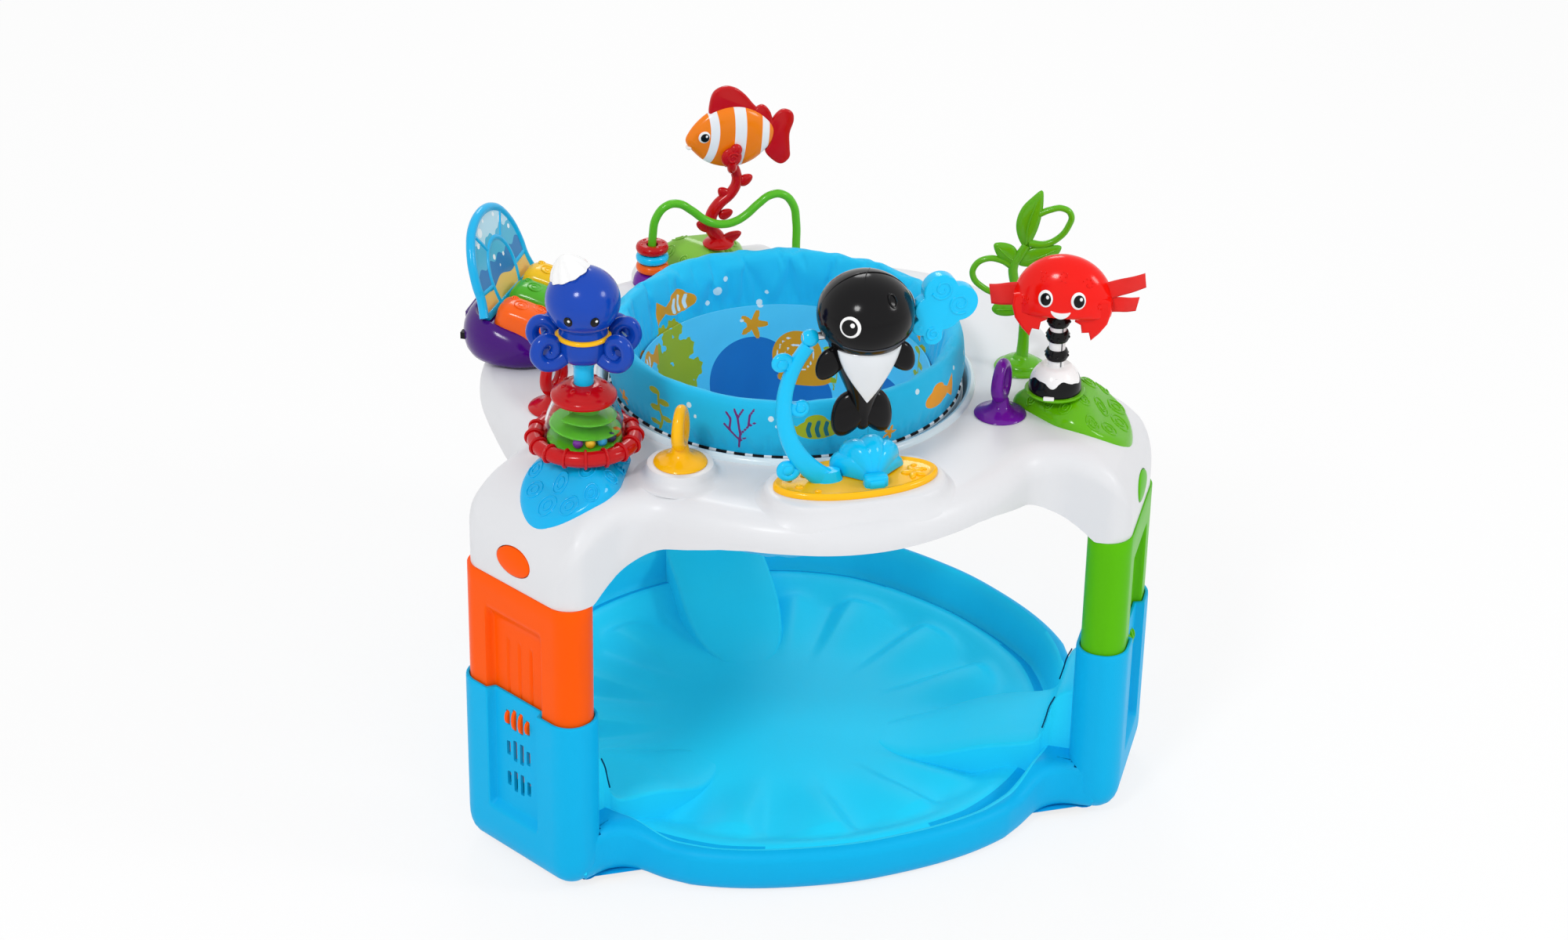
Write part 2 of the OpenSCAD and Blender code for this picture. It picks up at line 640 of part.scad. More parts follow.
knob_x = -50;
module whale_arm() color("deepskyblue") difference() {
    union() {
        whale_arm_shape(0);
        translate([knob_x, whale_y, axle_z]) rotate([0, 90, 0]) cylinder(r = 11, h = 12, center = true);
        for (c = [[-79, -24, 9], [-60, -76, 8], [-72, -134, 10]])
            translate([c[0], whale_y, axle_z + c[1]]) rotate([90, 0, 0])
                cylinder(r = c[2], h = 9, center = true);
    }
    translate([knob_x - 10, whale_y, axle_z]) rotate([0, 90, 0]) cylinder(r = axle_r, h = 30);
}

axle_end = 66;
module whale_axle() color("silver") translate([knob_x - 8, whale_y, axle_z]) rotate([0, 90, 0])
    cylinder(r = axle_r, h = axle_end - knob_x + 8);

body_up = 70;           // top of the head above the axle
whale_profile = [[0, -96], [9, -94], [14, -76], [22, -52], [32, -26], [41, -4], [45, 18], [44, 34],
    [38, 50], [26, 63], [12, 69], [0, body_up]];
fluke_r = 19;
module whale_body() color([0.05, 0.05, 0.06]) translate([whale_x, whale_y, axle_z]) difference() {
    union() {
        rotate_extrude() polygon(whale_profile);
        for (s = [-1, 1]) translate([s*15, 6, -92]) rotate([90, 0, 0])
            cylinder(r = fluke_r, h = 9, center = true);
        for (s = [-1, 1]) translate([s*33, 0, -32]) rotate([90, 0, 0])
            cylinder(r = 13, h = 8, center = true);
    }
    rotate([0, 90, 0]) cylinder(r = axle_r + 0.06, h = 200, center = true);
}

belly_t = 2;
belly_strip = [for (i = [3:6]) whale_profile[i]];
module whale_belly() color("white") translate([whale_x, whale_y, axle_z]) rotate([0, 0, 232])
    rotate_extrude(angle = 76) polygon(concat([for (p = belly_strip) [p[0] + gap/3, p[1]]],
        [for (i = [len(belly_strip) - 1:-1:0]) [belly_strip[i][0] + belly_t, belly_strip[i][1]]]));

splash_stem = 56;
module whale_splash() color("deepskyblue") difference() {
    union() {
        translate([splash_stem, whale_y, axle_z]) rotate([0, 90, 0]) cylinder(r = 8, h = 22);
        for (c = [[80, 40, 17], [98, 22, 18], [82, 14, 16], [72, -8, 9]])
            translate([c[0], whale_y, axle_z + c[1]]) rotate([90, 0, 0])
                cylinder(r = c[2], h = 13, center = true);
    }
    translate([splash_stem - 1, whale_y, axle_z]) rotate([0, 90, 0])
        cylinder(r = axle_r, h = axle_end - splash_stem + 1.1);
}

// Crab on its striped post

crab_r = 27;
crab_foot_h = 30;
ball_r = 10;
ball_z = pad_z + 12;
socket_r = ball_r + 0.3;
module at_crab() at(330, toy_at) children();
module crab_foot() color("black") at_crab() difference() {
    translate([0, 0, pad_z])
        rotate_extrude() polygon([[0, 0], [crab_r, 0], [crab_r - 1, 8], [crab_r - 7, 20],
            [18, crab_foot_h], [0, crab_foot_h]]);
    translate([0, 0, ball_z]) sphere(socket_r);
    translate([0, 0, ball_z]) cylinder(r1 = 9, r2 = 17, h = crab_foot_h);
}

post_top = pad_z + 84;
module crab_post() color("white") at_crab() {
    translate([0, 0, ball_z]) sphere(ball_r);
    translate([0, 0, ball_z]) cylinder(r = 8, h = post_top - ball_z);
    for (z = [43, 63]) translate([0, 0, pad_z + z]) rotate_extrude() translate([7, 0]) circle(4.5);
}

shell_r = 50;
crab_turn = -70;         // the crab faces the front
module crab_body() color("red") at_crab() translate([0, 0, post_top]) rotate([0, 0, crab_turn]) {
    intersection() {
        translate([0, 0, 16]) sphere(shell_r);
        translate([-100, -100, 0]) cube([200, 200, 100]);
        cube([64, 140, 300], center = true);
    }
    for (s = [-1, 1]) translate([0, s*36, -8]) rotate([s*8, 0, 0])
        cylinder(r1 = 5, r2 = 15, h = 30, center = true);
}

ribbon_l = 30;
ribbon_t = 1.2;
// Each ribbon: side, tilt and width
ribbons = [[1, 18, 20], [1, -16, 20], [-1, 4, 16]];
module crab_ribbons() color("red") at_crab() translate([0, 0, post_top + 16]) rotate([0, 0, crab_turn])
    for (c = ribbons) rotate([c[0]*c[1], 0, c[0] > 0 ? 0 : 180])
        translate([-ribbon_t/2, shell_r + gap, -c[2]/2]) cube([ribbon_t, ribbon_l, c[2]]);

// Seaweed teether

weed_z = tray_z;
module leaf(l, w, t) linear_extrude(t, center = true) intersection() {
    translate([0, (l*l - w*w)/(4*w)]) circle((l*l + w*w)/(4*w), $fn = 96);
    translate([0, -(l*l - w*w)/(4*w)]) circle((l*l + w*w)/(4*w), $fn = 96);
}
stem_points = [[0, 0, 4], [3, 0, 60], [-12, 0, 100], [-2, 0, 142]];
module seaweed() color("limegreen") at(weed_at[1], weed_at[0], weed_z) {
    rotate_extrude() polygon([[0, -peg_l], [peg_r, -peg_l], [peg_r, 0], [22, 0], [22, 3], [12, 7],
        [0, 9]]);
    for (i = [0:len(stem_points) - 2]) bar(stem_points[i], stem_points[i + 1], 6);
    for (p = [stem_points[1], stem_points[2], stem_points[3]]) translate(p) sphere(7);
    translate([6, 0, 168]) rotate([90, 0, 0]) rotate([0, 0, 72]) leaf(64, 32, 8);
    translate([30, 0, 158]) rotate([90, 0, 0]) rotate_extrude() translate([17, 0]) circle(4.5);
    translate([-38, 0, 100]) rotate([90, 0, 0]) rotate_extrude() translate([18, 0]) circle(4.5);
    translate([-24, 0, 132]) rotate([90, 0, 0]) rotate([0, 0, 130]) leaf(36, 22, 8);
    translate([-14, 0, 72]) rotate([90, 0, 0]) rotate([0, 0, 200]) leaf(40, 20, 8);
    translate([26, 0, 128]) rotate([90, 0, 0]) rotate([0, 0, 20]) leaf(50, 24, 8);
}

// Bead wire

module bead_base() color("purple") for (p = bead_feet) translate([p[0], p[1], tray_z]) difference() {
    rotate_extrude() polygon([[0, -peg_l], [peg_r, -peg_l], [peg_r, 0], [21, 0], [20, 6],
        [14, bead_seat - tray_z], [0, bead_seat - tray_z]]);
    translate([0, 0, 2]) cylinder(r = wire_r + 0.2, h = 40);
}

wire_straight = bead_seat + 3*bead_h + 18;
wire_half = [[bead_x, 0], [bead_x, 20], [bead_x, wire_straight - tray_z - 8], [bead_x - 8, 82],
    [bead_x - 30, 90], [bead_x - 58, 74], [14, 62], [0, 59]];
wire_points = concat([for (p = wire_half) [-p[0], bead_y, tray_z + 2.5 + p[1]]],
    [for (i = [len(wire_half) - 2:-1:0]) [wire_half[i][0], bead_y, tray_z + 2.5 + wire_half[i][1]]]);
module bead_wire() color("limegreen") tube(smooth_path(wire_points, 4), wire_r, 10, [0, 1, 0]);

bead_ring_r = 18;
bead_hole = wire_r + 1.4;
module bead_ring(name_colour, i) color(name_colour)
    translate([-bead_x, bead_y, bead_seat + gap + i*(bead_h + gap)]) rotate_extrude()
    polygon([[bead_hole, 1], [bead_hole + 1, 0], [bead_ring_r - 3, 0], [bead_ring_r, 3],
        [bead_ring_r, bead_h - 3],
        [bead_ring_r - 3, bead_h], [bead_hole + 1, bead_h], [bead_hole, bead_h - 1]]);

// Clownfish on its coral stalk

fish_half = 12;
fork_y = fish_half + 1;
fork_t = 4;
fork_z = fish_z - 26;
stalk_points = [[0, fish_y, pad_z + 5], [-9, fish_y, tray_z + 46], [-7, fish_y, tray_z + 64],
    [19, fish_y, tray_z + 90], [17, fish_y, fork_z - 4]];
module fish_stalk() color("crimson") difference() {
    union() {
        translate([0, fish_y, pad_z]) cylinder(r1 = 16, r2 = 11, h = 7);
        for (i = [0:len(stalk_points) - 2]) bar(stalk_points[i], stalk_points[i + 1], 7);
        for (i = [1:len(stalk_points) - 2]) translate(stalk_points[i]) sphere(8);
        for (c = [[30, 98, 8], [0, 86, 8], [8, 64, 8], [-24, 46, 9], [7, 38, 9]])
            translate([c[0], fish_y, tray_z + c[1]]) rotate([90, 0, 0])
                cylinder(r = c[2], h = 9, center = true);
        translate([fish_x - 8, fish_y - fork_y - fork_t, fork_z - 9]) cube([18, 2*(fork_y + fork_t), 6]);
        for (s = [-1, 1]) translate([fish_x, fish_y + s*(fork_y + fork_t/2), 0]) {
            translate([-8, -fork_t/2, fork_z - 5]) cube([18, fork_t, fish_z - fork_z]);
            translate([0, 0, fish_z]) rotate([90, 0, 0]) cylinder(r = 12, h = fork_t, center = true);
        }
    }
    translate([fish_x, fish_y, fish_z]) rotate([90, 0, 0]) cylinder(r = 3, h = 60, center = true);
}

module fish_pin() color("silver") translate([fish_x, fish_y, fish_z]) rotate([90, 0, 0])
    cylinder(r = 3, h = 2*(fork_y + fork_t) + 1, center = true);

fish_mid = [12, fish_z + 18];
fish_l = 100;
fish_h = 71;
fish_arc = (fish_l*fish_l + fish_h*fish_h)/(4*fish_h);
module fish_outline(grow) intersection() {
    translate([0, fish_arc - fish_h/2]) circle(fish_arc + grow, $fn = 96);
    translate([0, fish_h/2 - fish_arc]) circle(fish_arc + grow, $fn = 96);
    square([fish_l - 8 + 2*grow, 2*fish_h], center = true);
}
module fish_body() color("orange") difference() {
    translate([fish_mid[0], fish_y, fish_mid[1]]) rotate([90, 0, 0])
        linear_extrude(2*fish_half, center = true) fish_outline(0);
    translate([fish_x, fish_y, fish_z]) rotate([90, 0, 0]) cylinder(r = 3.06, h = 60, center = true);
}
module fish_fins() color("crimson") translate([fish_mid[0], fish_y, fish_mid[1]]) rotate([90, 0, 0])
    linear_extrude(8, center = true) difference() {
    union() {
        translate([-2, 28]) circle(30);
        translate([36, 18]) circle(13);
        translate([62, 14]) circle(15);
        translate([64, -20]) circle(15);
        translate([46, -14]) square([22, 30]);
    }
    fish_outline(gap);
}

// Musical key toy

piano_l = 156;
piano_w = 116;
piano_wall = 3;
piano_corner = 56;
key_inset = 14;          // margin of the casing round the keys
key_l = 74;
key_w = 42;
key_gap = 0.6;
key_step = key_w + 4;
key_rise = 24;
fan_r = 62;
fan_t = 8;
fan_in = 40;
fan_foot = 92;
module at_piano() at(piano_angle, piano_at) children();
module piano_outline(inset) rounded(piano_w - 2*inset, piano_l - 2*inset, piano_corner - inset);
module key_outline(i, grow) intersection() {
    translate([-10, i*key_step]) rounded(key_l + 2*grow, key_w + 2*grow, 12);
    piano_outline(key_inset - grow);
}

door_w = 52;
door_h = 32;
switch_slot = 24;
switch_h = 8;
module piano_body() color("indigo") at_piano() difference() {
    union() {
        translate([0, 0, tray_z]) linear_extrude(piano_z - tray_z - 8) piano_outline(0);
        translate([0, 0, piano_z - 8]) linear_extrude(8) piano_outline(5);
        for (y = [-50, 50]) translate([0, y, tray_z - peg_l]) cylinder(r = peg_r, h = peg_l + 1);
    }
    translate([0, 0, tray_z + piano_wall]) linear_extrude(piano_z - tray_z - 2*piano_wall)
        piano_outline(8);
    for (i = [-1, 0, 1]) translate([0, 0, piano_z - 10]) linear_extrude(20) key_outline(i, key_gap);
    translate([piano_w/2 - 14, -door_w/2, tray_z + 8]) cube([30, door_w, door_h]);
    translate([piano_w/2 - 30, 36, tray_z + 20]) cube([60, switch_slot, switch_h]);
    translate([fan_in - fan_t/2 - gap, -fan_foot/2 - gap, piano_z - 6])
        cube([fan_t + 2*gap, fan_foot + 2*gap, 30]);
}

// Key cap with a domed top, its rim held under the casing
module key(name_colour, i) color(name_colour) at_piano() {
    intersection() {
        translate([0, 0, piano_z - piano_wall - gap - 1]) linear_extrude(60) key_outline(i, 0);
        translate([0, i*key_step, piano_z + key_rise - 60]) rotate([0, 90, 0])
            cylinder(r = 60, h = 200, center = true, $fn = 96);
    }
    translate([0, 0, piano_z - piano_wall - gap - 5]) linear_extrude(5) key_outline(i, 1.7);
}

// Upright picture panel shaped like a fan
module picture_fan() color("deepskyblue") at_piano() translate([fan_in, 0, 0]) {
    translate([-fan_t/2, -fan_foot/2, piano_z - 6]) cube([fan_t, fan_foot, 12]);
    translate([0, 0, piano_z + 2]) rotate([90, 0, 90]) linear_extrude(fan_t, center = true) difference() {
        union() {
            translate([0, 56]) circle(fan_r);
            translate([-fan_foot/2, 0]) square([fan_foot, 40]);
        }
        translate([-100, -100]) square([200, 100]);
    }
}

module battery_door() color("indigo") at_piano() intersection() {
    translate([piano_w/2 - 6, -door_w/2 + gap, tray_z + 8 + gap])
        cube([20, door_w - 2*gap, door_h - 2*gap]);
    translate([0, 0, tray_z]) linear_extrude(100) piano_outline(0);
}

cell_r = 7.2;
cell_l = 50;
module batteries() color("dimgray") at_piano() for (i = [0:2])
    translate([piano_w/2 - 16 - cell_r - i*(2*cell_r + gap), -cell_l/2, tray_z + piano_wall + cell_r])
        rotate([-90, 0, 0]) cylinder(r = cell_r, h = cell_l);

board_l = 66;
board_w = 32;
board_t = 1.6;
board_z = tray_z + 24;
module circuit_board() color("darkgreen") at_piano() translate([-22, -7, 0]) {
    translate([-board_w/2, -board_l/2, board_z]) cube([board_w, board_l, board_t]);
    for (x = [-1, 1], y = [-1, 1]) translate([x*(board_w/2 - 4), y*(board_l/2 - 4), tray_z + piano_wall])
        cylinder(r = 2.5, h = board_z - tray_z - piano_wall);
}

speaker_r = 18;
module speaker() color("gray") at_piano() translate([-16, 44, tray_z + piano_wall]) {
    cylinder(r = speaker_r, h = 4);
    translate([0, 0, 4]) cylinder(r1 = speaker_r - 4, r2 = 8, h = 8);
}

switch_w = 8;
module volume_switch()
    color("yellow") at_piano()
        translate([piano_w/2 - 13, 36 + (switch_slot - switch_w)/2, tray_z + 20 + gap])
    cube([10, switch_w, switch_h - 2*gap]);

base();
at(210) leg("orangered");  // leg_left
at(330) leg("limegreen");  // leg_right
at(90) leg("purple");  // leg_back
at(210) latch("orangered");  // latch_left
at(330) latch("limegreen");  // latch_right
at(90) latch("purple");  // latch_back
at(210) lock_button("orange");  // lock_button_left
at(330) lock_button("limegreen");  // lock_button_right
at(90) lock_button("purple");  // lock_button_back
tray();
at(210) pad("deepskyblue");  // pad_left
at(330) pad("limegreen");  // pad_right
at(90) pad("yellowgreen");  // pad_back
seat_carrier();
bounce_springs();
seat_ring();
seat_collar();
seat_sling();
toy_loop("gold", yellow_at, tray_z + boss_h, -25);  // loop_yellow
toy_loop("darkviolet", purple_at, tray_z, -36);  // loop_purple
toy_loop("crimson", red_at, tray_z, -45);  // loop_red
drum_base();
drum_dome();
drum_cap();
drum_spiral();
drum_beads();
plunger();
octopus_body();
whale_plate();
whale_scallop();
whale_arm();
whale_axle();
whale_body();
whale_belly();
whale_splash();
crab_foot();
crab_post();
crab_body();
crab_ribbons();
seaweed();
bead_base();
bead_wire();
bead_ring("orange", 0);  // bead_ring_orange
bead_ring("deepskyblue", 1);  // bead_ring_blue
bead_ring("crimson", 2);  // bead_ring_red
fish_stalk();
fish_pin();
fish_body();
fish_fins();
piano_body();
key("orange", 1);  // key_orange
key("limegreen", 0);  // key_green
key("gold", -1);  // key_yellow
picture_fan();
battery_door();
batteries();
circuit_board();
speaker();
volume_switch();
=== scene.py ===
from math import acos, asin, atan2, copysign, cos, degrees, hypot, pi, radians as rad, sin, sqrt, tan
import bpy
import bmesh
from mathutils import Matrix, Vector, geometry, noise


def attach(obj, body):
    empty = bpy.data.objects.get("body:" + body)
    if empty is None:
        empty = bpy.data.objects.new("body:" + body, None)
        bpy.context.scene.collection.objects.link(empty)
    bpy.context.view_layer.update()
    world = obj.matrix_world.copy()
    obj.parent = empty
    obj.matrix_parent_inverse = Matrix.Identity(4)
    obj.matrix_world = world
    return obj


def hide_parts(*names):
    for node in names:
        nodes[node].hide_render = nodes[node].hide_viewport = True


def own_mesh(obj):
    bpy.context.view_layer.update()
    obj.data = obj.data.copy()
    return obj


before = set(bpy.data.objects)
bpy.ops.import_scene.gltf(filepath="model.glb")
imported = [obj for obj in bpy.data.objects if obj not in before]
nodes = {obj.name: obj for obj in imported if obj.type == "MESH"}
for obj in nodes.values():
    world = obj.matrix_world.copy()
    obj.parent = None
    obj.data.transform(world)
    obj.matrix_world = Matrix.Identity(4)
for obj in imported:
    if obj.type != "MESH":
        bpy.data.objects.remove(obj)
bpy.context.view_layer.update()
scene = bpy.context.scene
shown = bpy.context.evaluated_depsgraph_get
metre = 0.001                                    # shapes are drawn in millimetres, finished pieces are in metres


def smoothStep(low, high, x):
    t = min(max((x - low) / (high - low), 0.0), 1.0)
    return t * t * (3 - 2 * t)


def turnZ(angle):
    return Matrix.Rotation(rad(angle), 4, "Z")


def legFrame(angle, radius, z):
    return turnZ(angle) @ Matrix.Translation((radius, 0, z))


def move(x, y, z):
    return Matrix.Translation((x, y, z))


def turn(angle, axis):
    return Matrix.Rotation(rad(angle), 4, axis)


def size(x, y, z):
    return Matrix.Diagonal((x, y, z, 1))


upright = turn(90, "X")                          # stands a flat drawing up on the x, z plane, its front towards -y
facing = turn(90, "Z") @ upright                 # the same, looking out along x


def place(radius, angle, z=0.0):
    return move(radius * cos(rad(angle)), radius * sin(rad(angle)), z)


def placed(parts, where):
    return [(shape, where @ at, colour) for shape, at, colour in parts]


def coloured(colour, *shapes):
    return [(shape, at, colour) for shape, at in shapes]


# angles of evenly spread points on a circle
def around(count):
    return [2 * pi * k / count for k in range(count)]


def tidyShape(bm):
    bmesh.ops.remove_doubles(bm, verts=bm.verts, dist=0.002)
    bmesh.ops.recalc_face_normals(bm, faces=bm.faces)
    return bm


# an open skin whose broad faces look one way, upwards unless told otherwise
def faceUp(bm, outwards=lambda face: face.normal.z):
    bmesh.ops.recalc_face_normals(bm, faces=bm.faces)
    if sum(outwards(f) * f.calc_area() for f in bm.faces) < 0:
        bmesh.ops.reverse_faces(bm, faces=bm.faces)
    return bm


def lathe(profile, steps):
    bm = bmesh.new()
    line = [bm.verts.new((r, 0, z)) for r, z in profile]
    edges = [bm.edges.new(pair) for pair in zip(line, line[1:])]
    bmesh.ops.spin(bm, geom=line + edges, cent=(0, 0, 0), axis=(0, 0, 1), angle=2 * pi,
                   steps=steps, use_merge=True, use_duplicate=False)
    return tidyShape(bm)


def hoop(major, minor, steps, sides):
    ring = [(major + minor * cos(2 * pi * k / sides), minor * sin(2 * pi * k / sides)) for k in range(sides + 1)]
    return lathe(ring, steps)


def ball(x, y=None, z=None, steps=32):
    bm = bmesh.new()
    bmesh.ops.create_uvsphere(bm, u_segments=steps, v_segments=steps // 2, radius=1)
    bmesh.ops.scale(bm, vec=(x, y or x, z or x), verts=bm.verts)
    return bm


def tube(points, radius, sides, closed=False, widths=None):
    curve = bpy.data.curves.new("tube", "CURVE")
    curve.dimensions = "3D"
    curve.bevel_depth = radius
    curve.bevel_resolution = sides
    curve.use_fill_caps = True
    curve.resolution_u = 8
    spline = curve.splines.new("BEZIER")
    spline.bezier_points.add(len(points) - 1)
    for i, (knot, p) in enumerate(zip(spline.bezier_points, points)):
        knot.co = p
        knot.radius = widths[i] if widths else 1
        knot.handle_left_type = knot.handle_right_type = "AUTO"
    spline.use_cyclic_u = closed
    holder = bpy.data.objects.new("tube", curve)
    scene.collection.objects.link(holder)
    mesh = bpy.data.meshes.new_from_object(holder.evaluated_get(shown()))
    bm = bmesh.new()
    bm.from_mesh(mesh)
    bpy.data.objects.remove(holder)
    bpy.data.curves.remove(curve)
    bpy.data.meshes.remove(mesh)
    return tidyShape(bm)


def slab(outline, thick, edge, segments=3):
    bm = bmesh.new()
    face = bm.faces.new([bm.verts.new((p[0], p[1], -thick / 2)) for p in outline])
    raised = bmesh.ops.extrude_face_region(bm, geom=[face])["geom"]
    bmesh.ops.translate(bm, vec=(0, 0, thick), verts=[g for g in raised if isinstance(g, bmesh.types.BMVert)])
    bmesh.ops.recalc_face_normals(bm, faces=bm.faces)
    if edge:
        rim = [e for e in bm.edges if abs(e.verts[0].co.z - e.verts[1].co.z) < 1e-4]
        bmesh.ops.bevel(bm, geom=rim, offset=edge, offset_type="OFFSET", segments=segments, profile=0.5,
                        affect="EDGES", material=-1, clamp_overlap=True)
    return bm


# closed or open rings of points, joined one to the next by extruding the last ring's edges
def loft(rings, closed=True, capFirst=False, capLast=False):
    bm = bmesh.new()
    slot = bm.verts.layers.int.new("slot")
    line = [bm.verts.new(p) for p in rings[0]]
    for i, v in enumerate(line):
        v[slot] = i
    edges = [bm.edges.new((a, b)) for a, b in zip(line, line[1:] + line[:1] if closed else line[1:])]
    if capFirst:
        bm.faces.new(line)
    for ring in rings[1:]:
        made = bmesh.ops.extrude_edge_only(bm, edges=edges)["geom"]
        fresh = {g for g in made if isinstance(g, bmesh.types.BMVert)}
        edges = [g for g in made if isinstance(g, bmesh.types.BMEdge) and set(g.verts) <= fresh]
        for v in fresh:
            v.co = ring[v[slot]]
    if capLast:
        bmesh.ops.contextual_create(bm, geom=edges)
    return bm


def solid(rings):
    return tidyShape(loft(rings, capFirst=True, capLast=True))


# soft-edged solid on a flat outline: the rings draw in towards a middle while they rise
def pillow(outline, thick, middle=None, rings=7, power=1.0):
    points = [Vector((p[0], p[1], 0)) for p in outline]
    middle = Vector((*middle, 0)) if middle else sum(points, Vector()) / len(points)
    layers = []
    for k in range(-rings, rings + 1):
        a = pi / 2 * k / rings
        draw = abs(cos(a)) ** power
        layers.append([middle + (p - middle) * draw + Vector((0, 0, thick / 2 * sin(a))) for p in points])
    return tidyShape(loft(layers))


def evenly(points, count, closed=True):
    loop = list(points) + ([points[0]] if closed else [])
    lengths = [0.0]
    for a, b in zip(loop, loop[1:]):
        lengths.append(lengths[-1] + (b - a).length)
    out, k = [], 0
    for i in range(count):
        want = lengths[-1] * i / (count if closed else count - 1)
        while k < len(loop) - 2 and lengths[k + 1] < want:
            k += 1
        span = max(lengths[k + 1] - lengths[k], 1e-9)
        out.append(loop[k].lerp(loop[k + 1], (want - lengths[k]) / span))
    return out


# corners given as (x, y, radius), turned into arcs
def roundedCorners(corners):
    points, n = [], len(corners)
    for i, (x, y, radius) in enumerate(corners):
        here = Vector((x, y, 0))
        if not radius:
            points.append(here)
            continue
        before, after = corners[i - 1], corners[(i + 1) % n]
        inward = (here - Vector((before[0], before[1], 0))).normalized()
        onward = (Vector((after[0], after[1], 0)) - here).normalized()
        bend = inward.angle(onward)
        reach, handle = radius * tan(bend / 2), radius * 4 / 3 * tan(bend / 4)
        a, b = here - inward * reach, here + onward * reach
        points += geometry.interpolate_bezier(a, a + inward * handle, b - onward * handle, b,
                                              max(6, int(radius * bend / 2)))
    return points


# smooth closed or open line through a few points
def through(points, closed=True, count=96):
    pts = [Vector(p).to_3d() for p in points]
    n, line = len(pts), []
    for i in range(n if closed else n - 1):
        if closed:
            a, b, c, d = (pts[(i + k) % n] for k in (-1, 0, 1, 2))
        else:
            a, b, c, d = (pts[min(max(i + k, 0), n - 1)] for k in (-1, 0, 1, 2))
        line += geometry.interpolate_bezier(b, b + (c - a) / 6, c - (d - b) / 6, c, 12)[:-1]
    if not closed:
        line.append(pts[-1])
    return evenly(line, count, closed)


def ellipse(x, y, count):
    return [Vector((x * cos(a), y * sin(a), 0)) for a in around(count)]


def roundedBox(x, y, r, count):
    hx, hy = x / 2, y / 2
    return evenly(roundedCorners([(hx, -hy, r), (hx, hy, r), (-hx, hy, r), (-hx, -hy, r)]), count)


# one mesh of several shapes, each with its place
def gather(mesh, shapes):
    whole = bmesh.new()
    for shape, at in shapes:
        bmesh.ops.transform(shape, matrix=at, verts=shape.verts)
        if at.determinant() < 0:
            bmesh.ops.reverse_faces(shape, faces=shape.faces)
        shape.to_mesh(mesh)
        shape.free()
        whole.from_mesh(mesh)
        mesh.clear_geometry()
    bmesh.ops.scale(whole, vec=(metre, metre, metre), verts=whole.verts)
    return whole


# parts is a list of (shape, place, finish); node is the CAD node a piece stands for, like the one whose slot it takes
def piece(name, body, parts, node=None, sharp=40):
    mesh = bpy.data.meshes.new(name)
    used = list(dict.fromkeys(finishName for _, _, finishName in parts))
    for shape, _, finishName in parts:
        for face in shape.faces:
            face.material_index = used.index(finishName)
            face.smooth = True
    whole = gather(mesh, [(shape, at) for shape, at, _ in parts])
    whole.to_mesh(mesh)
    whole.free()
    for finishName in used:
        mesh.materials.append(finish(finishName))
    mesh.set_sharp_from_angle(angle=rad(sharp))
    obj = bpy.data.objects.new(name, mesh)
    scene.collection.objects.link(obj)
    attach(obj, body)
    if node:
        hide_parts(node)
    return obj


def wall(obj, thick, offset=-1.0):
    shell = obj.modifiers.new("wall", "SOLIDIFY")
    shell.thickness = thick * metre
    shell.offset = offset
    shell.use_even_offset = False


# cuts shapes out of a piece for good, so that no cutter stays behind
def cutOut(obj, shapes):
    mesh = bpy.data.meshes.new("cutter")
    whole = gather(mesh, shapes)
    whole.to_mesh(mesh)
    whole.free()
    cutter = bpy.data.objects.new("cutter", mesh)
    scene.collection.objects.link(cutter)
    cut = obj.modifiers.new("cut", "BOOLEAN")
    cut.operation = "DIFFERENCE"
    cut.solver = "EXACT"
    cut.object = cutter
    made = bpy.data.meshes.new_from_object(obj.evaluated_get(shown()))
    obj.modifiers.clear()
    old, obj.data = obj.data, made
    obj.data.name = obj.name
    bpy.data.meshes.remove(old)
    bpy.data.objects.remove(cutter)
    obj.data.set_sharp_from_angle(angle=rad(35))


def tint(code):
    parts = [int(code[i:i + 2], 16) / 255 for i in (1, 3, 5)]
    return (*[c / 12.92 if c <= 0.04045 else ((c + 0.055) / 1.055) ** 2.4 for c in parts], 1)


# fills a node's inputs, each with a link or with a plain value, and hands back its outputs
def feed(tree, node, values):
    for key, value in values.items():
        if isinstance(value, bpy.types.NodeSocket):
            tree.links.new(value, node.inputs[key])
        else:
            node.inputs[key].default_value = value
    return node.outputs


def add(tree, kind, values=(), **settings):
    node = tree.nodes.new("ShaderNode" + kind)
    for key, value in settings.items():
        setattr(node, key, value)
    return feed(tree, node, dict(values))


def mathNode(tree, operation, *values, clamp=False):
    return add(tree, "Math", enumerate(values), operation=operation, use_clamp=clamp)[0]


def noiseNode(tree, **values):
    return add(tree, "TexNoise", values)["Fac"]


def scaled(tree, colour, factor):
    return add(tree, "VectorMath", {0: colour, "Scale": factor}, operation="SCALE")[0]


def bump(tree, height, strength, distance=0.001):
    return add(tree, "Bump", {"Strength": strength, "Distance": distance, "Height": height})["Normal"]


def newGroup(name, inputs, outputs):
    group = bpy.data.node_groups.new(name, "ShaderNodeTree")
    for way, sockets in (("INPUT", inputs), ("OUTPUT", outputs)):
        for label, kind in sockets.items():
            group.interface.new_socket(label, in_out=way, socket_type="NodeSocket" + kind)
    return group, group.nodes.new("NodeGroupInput").outputs, group.nodes.new("NodeGroupOutput")


